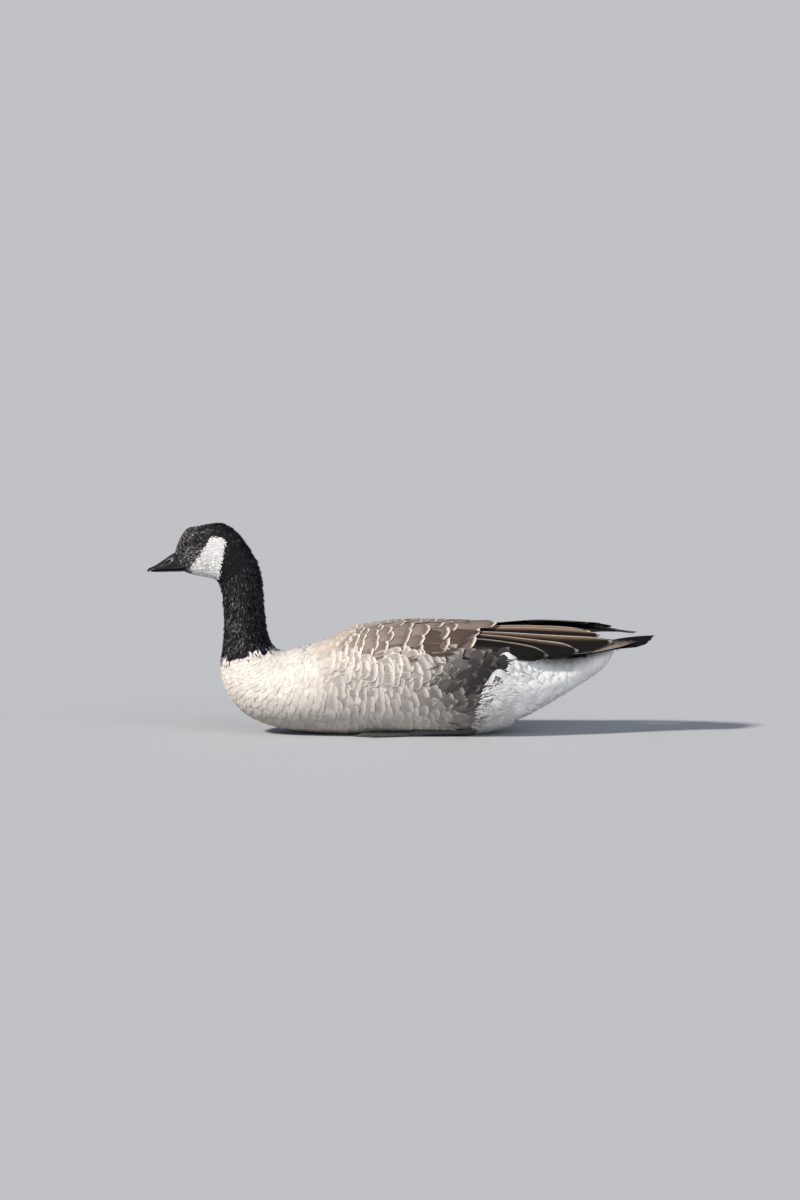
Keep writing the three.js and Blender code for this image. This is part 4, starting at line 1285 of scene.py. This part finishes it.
def scapular_rows(surface, rng):
    """Rows of coverts and scapulars over the front of the wing, small in front and large behind."""
    for k, tip_y in enumerate(SCAPULAR_TIPS[:-1]):
        gap = SCAPULAR_TIPS[k + 1] - tip_y
        width = np.clip(gap * 0.8 + 14, 22, 46)
        length = min(gap * 2.0 + 14, 90)
        last = np.interp(tip_y, (60, 120), (1.0, 0.84))
        spread = surface.paces(np.array(float(tip_y)), np.array(0.5))[1]
        count = int(np.ceil(spread * last / (width * 0.6)))
        t = (np.arange(count) + 0.5 * (k % 2) + 0.2) / count * last
        t = t + rng.uniform(-0.16, 0.16, count) / count
        lean = 1 + 0.5 * smoothstep(tip_y, 40, 100)
        slant = (16 * (1 - np.minimum(t / 0.35, 1)) ** 2 - 15 * t) * lean
        y = tip_y + slant + rng.uniform(-0.16, 0.16, count) * gap
        tip = np.column_stack([y, t])
        root = np.column_stack([y - length, t - 0.03 + rng.uniform(-0.02, 0.02, count)])
        lift = np.column_stack([feather_height(y - length, t) - 2.0 - 0.012 * length, feather_height(y, t)])
        yield root, tip, width * rng.uniform(0.88, 1.12, count), lift


def wing_tint(y, t, rng):
    """The tint of the wing's feathers whose tips are at y and t."""
    low = 0.6 * smoothstep(t, 0.4, 0.8) * smoothstep(y, -70, 20)
    tint = blend(low, mantle_tint(y), np.array(bpy.context.scene.goose_colours.dusky))
    return tint * rng.uniform(0.92, 1.08, (len(y), 1))


def wing_tracts(surface, rng):
    """Every tract of the wing's feathers: roots, tips, widths, lifts, cut, tints, rims and roll."""
    colours = bpy.context.scene.goose_colours
    for root, tip, width, lift in scapular_rows(surface, rng):
        tint = wing_tint(tip[:, 0], tip[:, 1], rng)
        strength = 0.72 - 0.66 * smoothstep(np.abs(SCALE.ring), 0.75, 1.05)
        rim = np.stack(np.broadcast_arrays(2.1 + width[:, None] / 26, strength), -1)
        yield root, tip, width, lift, SCALE, tint, rim, 0.5
    for tier in WING_TIERS.values():
        root, tip, width, lift = tier_tract(tier)
        n = len(width)
        tip = tip + np.column_stack([rng.uniform(-3, 3, n), rng.uniform(-0.01, 0.01, n)])
        ring = tier["cut"].ring
        upper, lower = (np.array(getattr(colours, name)) for name in tier["tints"])
        turn = np.linspace(*tier["webs"], n)
        tint = blend(smoothstep(ring, turn[:, :1], turn[:, 1:])[..., None], upper, lower)
        shade = np.linspace(*tier["shade"], n)[:, None, None]
        tint = tint * shade * rng.uniform(0.85, 1.15, (n, 1, 1))
        broad, above, below, last = tier["rim"]
        strength = np.outer(np.linspace(1, last, n), blend((ring + 1) / 2, above, below))
        rim = np.stack([np.full_like(strength, broad), strength], -1)
        lift[:, 0] *= feather_height(*root.T) / wing_height(root[:, 0])
        lift[:, 1] *= feather_height(*tip.T) / wing_height(tip[:, 0])
        yield root, tip, width, lift, tier["cut"], tint, rim, tier["roll"]


def make_wing(side_name):
    """A folded wing: coverts and scapulars over tertials, secondaries and primaries, on a closed core."""
    colours = bpy.context.scene.goose_colours
    surface = WING_SURFACES[side_name]
    rng = np.random.default_rng(bpy.context.scene.goose_sizes.seed + 5 + (SIDES[side_name] < 0))
    tracts = list(wing_tracts(surface, rng))
    charts, patch = cell_charts([len(tract[0]) for tract in tracts])
    coat = Plumage(f"wing_feathers_{side_name}")
    for (root, tip, width, lift, cut, tint, rim, roll), chart in zip(tracts, charts):
        coat.lay(surface, root, tip, width, lift, cut, tint, rim, chart, rng, roll, patch)
    look = {"roughness": 0.6, "gloss": 0.1, "shaft": 0.3, "barbs": 0.08}
    material = feather_material(f"wing_feather_{side_name}", **look, soft=0.5, hair=0.45, dusk=0.22)
    coat.finish(material, (f"wing_{side_name}",))

    def core(u, v):
        y = blend(u, *WING_CORE_ENDS)
        over = v < 0.5
        t = np.where(over, v * 2, 2 - v * 2)
        breadth = np.maximum(0.05, np.sqrt(np.clip(1 - (1 - u / 0.3) ** 2, 0, 1)) * (u < 0.3) + (u >= 0.3))
        t = 0.62 + breadth * (0.04 + 0.94 * t - 0.62)
        dome = (np.clip(np.minimum(v * 2, 1 - v * 2) * 4, 0, 1) * np.clip(u * 8, 0, 1)) ** 0.6
        rise = np.where(over, (core_height(y) + 2) * dome - 2, -WING_CORE_DEPTH)
        return surface.place(y, t, rise)

    bm = sheet(*WING_CORE_GRID, core)
    close(bm)
    material = down_material(f"wing_down_{side_name}", colours.dusky, colours.flight)
    piece(f"wing_core_{side_name}", bm, material)


def tail_tracts(rng):
    """Every tract of the tail's feathers: roots, tips, lifts, roll and the tier."""
    for tier in TAIL_TIERS:
        pairs = tier["pairs"]
        share = (np.arange(pairs) + 0.5) / pairs
        for side in SIDES.values():
            under = np.arange(pairs) + (0 if side > 0 else 0.5)
            angle = side * share * tier["half_angle"] * (1 if side < 0 else TAIL_LEFT_SHARE)
            root = np.column_stack([np.full(pairs, tier["from"]), angle])
            far = tier["to"] - tier["curve"] * share**2 + rng.uniform(-1.5, 1.5, pairs)
            tip = np.column_stack([far, angle])
            lift = np.array(tier["lift"]) - np.outer(under, tier["step"])
            yield root, tip, lift, -tier["roll"] * side, tier


def make_tail():
    """The fan of black tail feathers with white coverts over it, on a closed root."""
    rng = np.random.default_rng(bpy.context.scene.goose_sizes.seed + 9)
    colours = bpy.context.scene.goose_colours
    coat = Plumage("tail_feathers")
    tracts = list(tail_tracts(rng))
    charts, patch = cell_charts([len(tract[0]) for tract in tracts])
    for (root, tip, lift, roll, tier), chart in zip(tracts, charts):
        tint = np.array(getattr(colours, tier["tint"])) * rng.uniform(0.85, 1.2, (len(root), 1))
        cut, rim = tier["cut"], tier["rim"]
        coat.lay(TAIL_SURFACE, root, tip, tier["width"], lift, cut, tint, rim, chart, rng, roll, patch)
    material = feather_material("tail_feather", roughness=0.62, gloss=0.06, shaft=0.3, barbs=0.1)
    coat.finish(material, ("tail",))

    def base(u, v):
        over = v < 0.5
        share = np.where(over, v * 2, 2 - v * 2)
        dome = (np.sin(np.pi * (0.05 + 0.9 * share)) * np.sin(np.pi * (0.08 + 0.86 * u))) ** 0.5
        rise = np.where(over, TAIL_ROOT["edge"] + TAIL_ROOT["dome"] * dome, TAIL_ROOT["below"])
        distance = TAIL_ROOT["from"] + u * TAIL_ROOT["length"]
        return tail_point(distance, (share - 0.5) * TAIL_ROOT["width"], rise)

    bm = sheet(*TAIL_ROOT_GRID, base)
    close(bm)
    piece("tail_root", bm, down_material("tail_down", colours.tail, colours.flight))


def nostril_depth(place):
    """How deep the nostrils are sunk into the bill at its places."""
    y, z = place[..., 1] - NOSTRIL["y"], place[..., 2] - NOSTRIL["z"]
    cosine, sine = np.cos(NOSTRIL["slope"]), np.sin(NOSTRIL["slope"])
    along, up = y * cosine + z * sine, z * cosine - y * sine
    inside = np.hypot(along / (NOSTRIL["length"] / 2), up / (NOSTRIL["height"] / 2))
    around = np.hypot(along / NOSTRIL["length"], up / NOSTRIL["height"])
    side = np.abs(place[..., 0]) > 3
    hole = NOSTRIL["depth"] * (1 - smoothstep(inside, 0.6, 1.05))
    return side * (hole + 0.45 * (1 - smoothstep(around, 0.5, 1)))


def make_bill():
    """The bill in two halves, with nostrils and the nail."""
    first, last = BILL_STATIONS[0][0], BILL_STATIONS[-1][0]

    def upper(u, v):
        y = first + (last - first) * (1 - (1 - u) ** 1.3)
        culmen, edge, width, _ = np.moveaxis(bill_table(y), -1, 0)
        angle = v * 2 * np.pi
        rise = np.cos(angle)
        widest = edge + LIP_DROP
        domed = rise > 0
        x = width * power(np.sin(angle), np.where(domed, 0.9, 0.35))
        up = np.where(domed, (culmen - widest) * np.abs(rise) ** 1.24, -LIP_DROP * np.abs(rise) ** 0.6)
        place = np.stack([x, y, widest + up], -1)
        nail = np.hypot((y - NAIL["y"]) / NAIL["length"], x / NAIL["width"])
        shield = NAIL["height"] * (1 - smoothstep(nail, 0.8, 1.02)) * smoothstep(rise, 0.1, 0.4)
        lip = -0.35 * smoothstep(-np.abs(rise - 0.16), -0.1, 0) * (y > -362)
        out = np.stack([np.sin(angle), y * 0, np.maximum(rise, 0)], -1)
        return place + out * (shield + lip - nostril_depth(place))[..., None]

    def lower(u, v):
        y = first + (LOWER_BILL_END - first) * u
        _, edge, width, underside = np.moveaxis(bill_table(y), -1, 0)
        taper = np.sqrt(1 - np.maximum(0, (u - 0.7) / 0.32) ** 2)
        top = edge - 0.5
        angle = v * 2 * np.pi
        half = np.maximum((top - underside) / 2, 0.8)
        x = width * 0.86 * taper * power(np.sin(angle), 0.7)
        return np.stack([x, y, (top + underside) / 2 + half * power(np.cos(angle), 0.6)], -1)

    colours = bpy.context.scene.goose_colours
    s = Shader("bill_horn", roughness=0.3, gloss=0.25, coat=0.15, coat_roughness=0.22)
    worn = s.noise(120, 4, 0.6)
    s.feed("Base Color", s.mix(s.smooth(worn, 0.45, 0.8), tuple(colours.bill), tuple(colours.worn_bill)))
    s.feed("Roughness", 0.26 + worn * 0.22)
    s.bump(s.noise(380, 3) + s.noise(1500, 2) * 0.3, 0.25 * MM, 0.35)
    for name, place in (("upper", upper), ("lower", lower)):
        bm = sheet(*BILL_GRIDS[name], place)
        close(bm)
        piece(f"bill_{name}_horn", bm, s.material, (f"bill_{name}",))


def make_eyes():
    """Eyeballs with iris and pupil, and the rolled lids round them."""
    sizes, colours = bpy.context.scene.goose_sizes, bpy.context.scene.goose_colours
    s = Shader("eye_gloss", roughness=0.04, gloss=0.25, coat=0.2, coat_roughness=0.02)
    _, y, z = s.parts(s.place())
    y, z = y - EYE.y * MM, z - EYE.z * MM
    radius = (y * y + z * z) ** 0.5
    streaks = s.noise(900, 3)
    iris = s.mix(streaks, tuple(colours.iris), tuple(c * 1.8 for c in colours.iris))
    pupil = s.smooth(radius, sizes.pupil - 0.15 * MM, sizes.pupil + 0.15 * MM)
    coloured = s.mix(pupil, tuple(colours.pupil), iris)
    rim = s.smooth(radius, sizes.iris - 0.3 * MM, sizes.iris + 0.3 * MM)
    s.feed("Base Color", s.mix(rim, coloured, tuple(colours.eye_edge)))
    lid = Shader("lid_skin", roughness=0.45)
    worn = lid.noise(500, 3)
    lid.feed("Base Color", lid.mix(worn, tuple(colours.bill), tuple(colours.worn_lid)))
    lid.bump(worn, 0.2 * MM, 0.6)
    for name, side in SIDES.items():
        bm = bmesh.new()
        ball = Vector((side * EYE.x, EYE.y, EYE.z)) * MM
        turn = Matrix.Translation(ball) @ Matrix.Rotation(np.pi / 2, 4, "Y")
        round_u, round_v = EYEBALL_GRID
        bmesh.ops.create_uvsphere(
            bm, u_segments=round_u, v_segments=round_v, radius=EYE_RADIUS * MM, matrix=turn
        )
        piece(f"eyeball_{name}", bm, s.material, (f"eye_{name}",))
        bm = bmesh.new()
        reach = sizes.eye_length / 2
        section = Matrix.Translation((0, reach, 0))
        bmesh.ops.create_circle(bm, segments=LID_GRID[0], radius=sizes.lid_rim, matrix=section)
        bmesh.ops.spin(
            bm,
            geom=bm.verts[:] + bm.edges[:],
            axis=(1, 0, 0),
            cent=(0, 0, 0),
            angle=2 * np.pi,
            steps=LID_GRID[1],
            use_merge=True,
        )
        for vert in bm.verts:
            out, along, up = vert.co
            up *= sizes.eye_height / sizes.eye_length
            bend = np.sqrt(max((EYE_RADIUS * MM) ** 2 - along**2 - up**2, 1e-9))
            vert.co = ball + Vector((side * (bend + out), along, up))
        bmesh.ops.recalc_face_normals(bm, faces=bm.faces)
        piece(f"lids_{name}", bm, lid.material)


def make_feet():
    """Tarsi and webbed toes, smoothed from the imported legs, with scaly skin."""
    colours = bpy.context.scene.goose_colours
    s = Shader("foot_skin", roughness=0.5)
    scales = s.node(
        "ShaderNodeTexVoronoi", {"feature": "DISTANCE_TO_EDGE"}, {"Vector": s.place(), "Scale": 420.0}
    )
    worn = s.noise(150, 3)
    s.feed("Base Color", s.mix(worn, tuple(colours.foot), tuple(colours.worn_foot)))
    s.feed("Roughness", 0.42 + worn * 0.2)
    s.bump(s.smooth(scales, 0.0, 0.25), 0.35 * MM, 0.7)
    for name in SIDES:
        bm = bmesh.new()
        bm.from_mesh(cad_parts[f"leg_{name}"].data)
        bmesh.ops.remove_doubles(bm, verts=bm.verts, dist=WELD)
        made = bpy.data.objects.new(f"foot_draft_{name}", mesh_of(f"foot_{name}", bm))
        bpy.context.scene.collection.objects.link(made)
        remesh = made.modifiers.new("Fine", "REMESH")
        remesh.mode, remesh.voxel_size = "VOXEL", 0.9 * MM
        soften = made.modifiers.new("Soft", "SMOOTH")
        soften.factor, soften.iterations = 0.5, 6
        finished = bpy.data.meshes.new_from_object(made.evaluated_get(bpy.context.evaluated_depsgraph_get()))
        bpy.data.objects.remove(made)
        finished.shade_smooth()
        place_piece(f"foot_{name}", finished, s.material, (f"leg_{name}",))


def make_stage():
    """A pale floor, a key light from the front on the goose's left, a softer and weaker one from behind on
    the same side, light from all round and the camera."""
    stage = bpy.context.scene.goose_stage
    scene = bpy.context.scene
    bm = bmesh.new()
    bmesh.ops.create_grid(bm, x_segments=1, y_segments=1, size=FLOOR_SIZE)
    mesh = mesh_of("floor", bm)
    floor = bpy.data.objects.new("floor", mesh)
    s = Shader("floor_paint", roughness=0.85)
    s.surface.inputs["Base Color"].default_value = (*stage.floor, 1)
    mesh.materials.append(s.material)
    scene.collection.objects.link(floor)
    floor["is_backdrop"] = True
    world = bpy.data.worlds.new("studio")
    world.use_nodes = True
    sky = next(n for n in world.node_tree.nodes if n.type == "BACKGROUND")
    sky.inputs["Color"].default_value = (*stage.sky, 1)
    sky.inputs["Strength"].default_value = SKY_STRENGTH
    scene.world = world
    scene.view_settings.view_transform = "Standard"
    for name, (source, strength, size, colour) in LIGHTS.items():
        lamp = bpy.data.objects.new(name, bpy.data.lights.new(name, "SUN"))
        lamp.data.energy = strength
        lamp.data.angle = size
        lamp.data.color = colour
        lamp.rotation_euler = Vector(source).to_track_quat("Z", "Y").to_euler()
        scene.collection.objects.link(lamp)
    camera = bpy.data.objects.new("camera", bpy.data.cameras.new("camera"))
    camera.data.lens = stage.lens
    camera.data.sensor_width = 36
    camera.data.clip_end = 500
    view = Vector((np.cos(stage.elevation), 0, np.sin(stage.elevation)))
    camera.location = Vector(stage.target) + view * stage.distance
    camera.rotation_euler = view.to_track_quat("Z", "Y").to_euler()
    scene.collection.objects.link(camera)
    scene.camera = camera


# Operators


class GOOSE_OT_skin(bpy.types.Operator):
    """Make the skin under head, neck and body"""

    bl_idname = "goose.skin"
    bl_label = "Skin"

    def execute(self, context):
        make_skin()
        return {"FINISHED"}


class GOOSE_OT_head_feathers(bpy.types.Operator):
    """Make the small feathers of the head"""

    bl_idname = "goose.head_feathers"
    bl_label = "Head feathers"

    def execute(self, context):
        make_head_feathers()
        return {"FINISHED"}


class GOOSE_OT_neck_feathers(bpy.types.Operator):
    """Make the furrowed feathers of the neck"""

    bl_idname = "goose.neck_feathers"
    bl_label = "Neck feathers"

    def execute(self, context):
        make_neck_feathers()
        return {"FINISHED"}


class GOOSE_OT_body_feathers(bpy.types.Operator):
    """Make the feathers of breast, flanks, back, belly and vent"""

    bl_idname = "goose.body_feathers"
    bl_label = "Body feathers"

    def execute(self, context):
        make_body_feathers()
        make_tufts()
        return {"FINISHED"}


class GOOSE_OT_wings(bpy.types.Operator):
    """Make both folded wings"""

    bl_idname = "goose.wings"
    bl_label = "Wings"

    def execute(self, context):
        for side_name in SIDES:
            make_wing(side_name)
        return {"FINISHED"}


class GOOSE_OT_tail(bpy.types.Operator):
    """Make the tail's fan"""

    bl_idname = "goose.tail"
    bl_label = "Tail"

    def execute(self, context):
        make_tail()
        return {"FINISHED"}


class GOOSE_OT_bill(bpy.types.Operator):
    """Make both halves of the bill"""

    bl_idname = "goose.bill"
    bl_label = "Bill"

    def execute(self, context):
        make_bill()
        return {"FINISHED"}


class GOOSE_OT_eyes(bpy.types.Operator):
    """Make the eyes and their lids"""

    bl_idname = "goose.eyes"
    bl_label = "Eyes"

    def execute(self, context):
        make_eyes()
        return {"FINISHED"}


class GOOSE_OT_feet(bpy.types.Operator):
    """Make both webbed feet"""

    bl_idname = "goose.feet"
    bl_label = "Feet"

    def execute(self, context):
        make_feet()
        return {"FINISHED"}


class GOOSE_OT_stage(bpy.types.Operator):
    """Set up the floor, light and camera"""

    bl_idname = "goose.stage"
    bl_label = "Stage"

    def execute(self, context):
        make_stage()
        return {"FINISHED"}


OPERATORS = (
    GOOSE_OT_skin,
    GOOSE_OT_head_feathers,
    GOOSE_OT_neck_feathers,
    GOOSE_OT_body_feathers,
    GOOSE_OT_wings,
    GOOSE_OT_tail,
    GOOSE_OT_bill,
    GOOSE_OT_eyes,
    GOOSE_OT_feet,
    GOOSE_OT_stage,
)


class GOOSE_PT_panel(bpy.types.Panel):
    """The goose's operators and settings"""

    bl_label = "Goose"
    bl_idname = "GOOSE_PT_panel"
    bl_space_type = "VIEW_3D"
    bl_region_type = "UI"
    bl_category = "Goose"

    def draw(self, context):
        for operator in OPERATORS:
            self.layout.operator(operator.bl_idname)
        for group in SETTINGS:
            settings = getattr(context.scene, group)
            for name in settings.__annotations__:
                self.layout.prop(settings, name)


SETTINGS = {"goose_sizes": GooseSizes, "goose_colours": GooseColours, "goose_stage": GooseStage}


def register():
    for cls in (*SETTINGS.values(), *OPERATORS, GOOSE_PT_panel):
        bpy.utils.register_class(cls)
    for name, cls in SETTINGS.items():
        setattr(bpy.types.Scene, name, PointerProperty(type=cls))


def unregister():
    for name in SETTINGS:
        delattr(bpy.types.Scene, name)
    for cls in (GOOSE_PT_panel, *reversed(OPERATORS), *reversed(SETTINGS.values())):
        bpy.utils.unregister_class(cls)


def main():
    register()
    for operator in OPERATORS:
        getattr(bpy.ops.goose, operator.bl_idname.split(".")[1])()
    boxes = {"cad": cad_box, "visual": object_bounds()}
    sizes = {name: [[float(value) for value in corner] for corner in box] for name, box in boxes.items()}


if __name__ == "__main__":
    main()
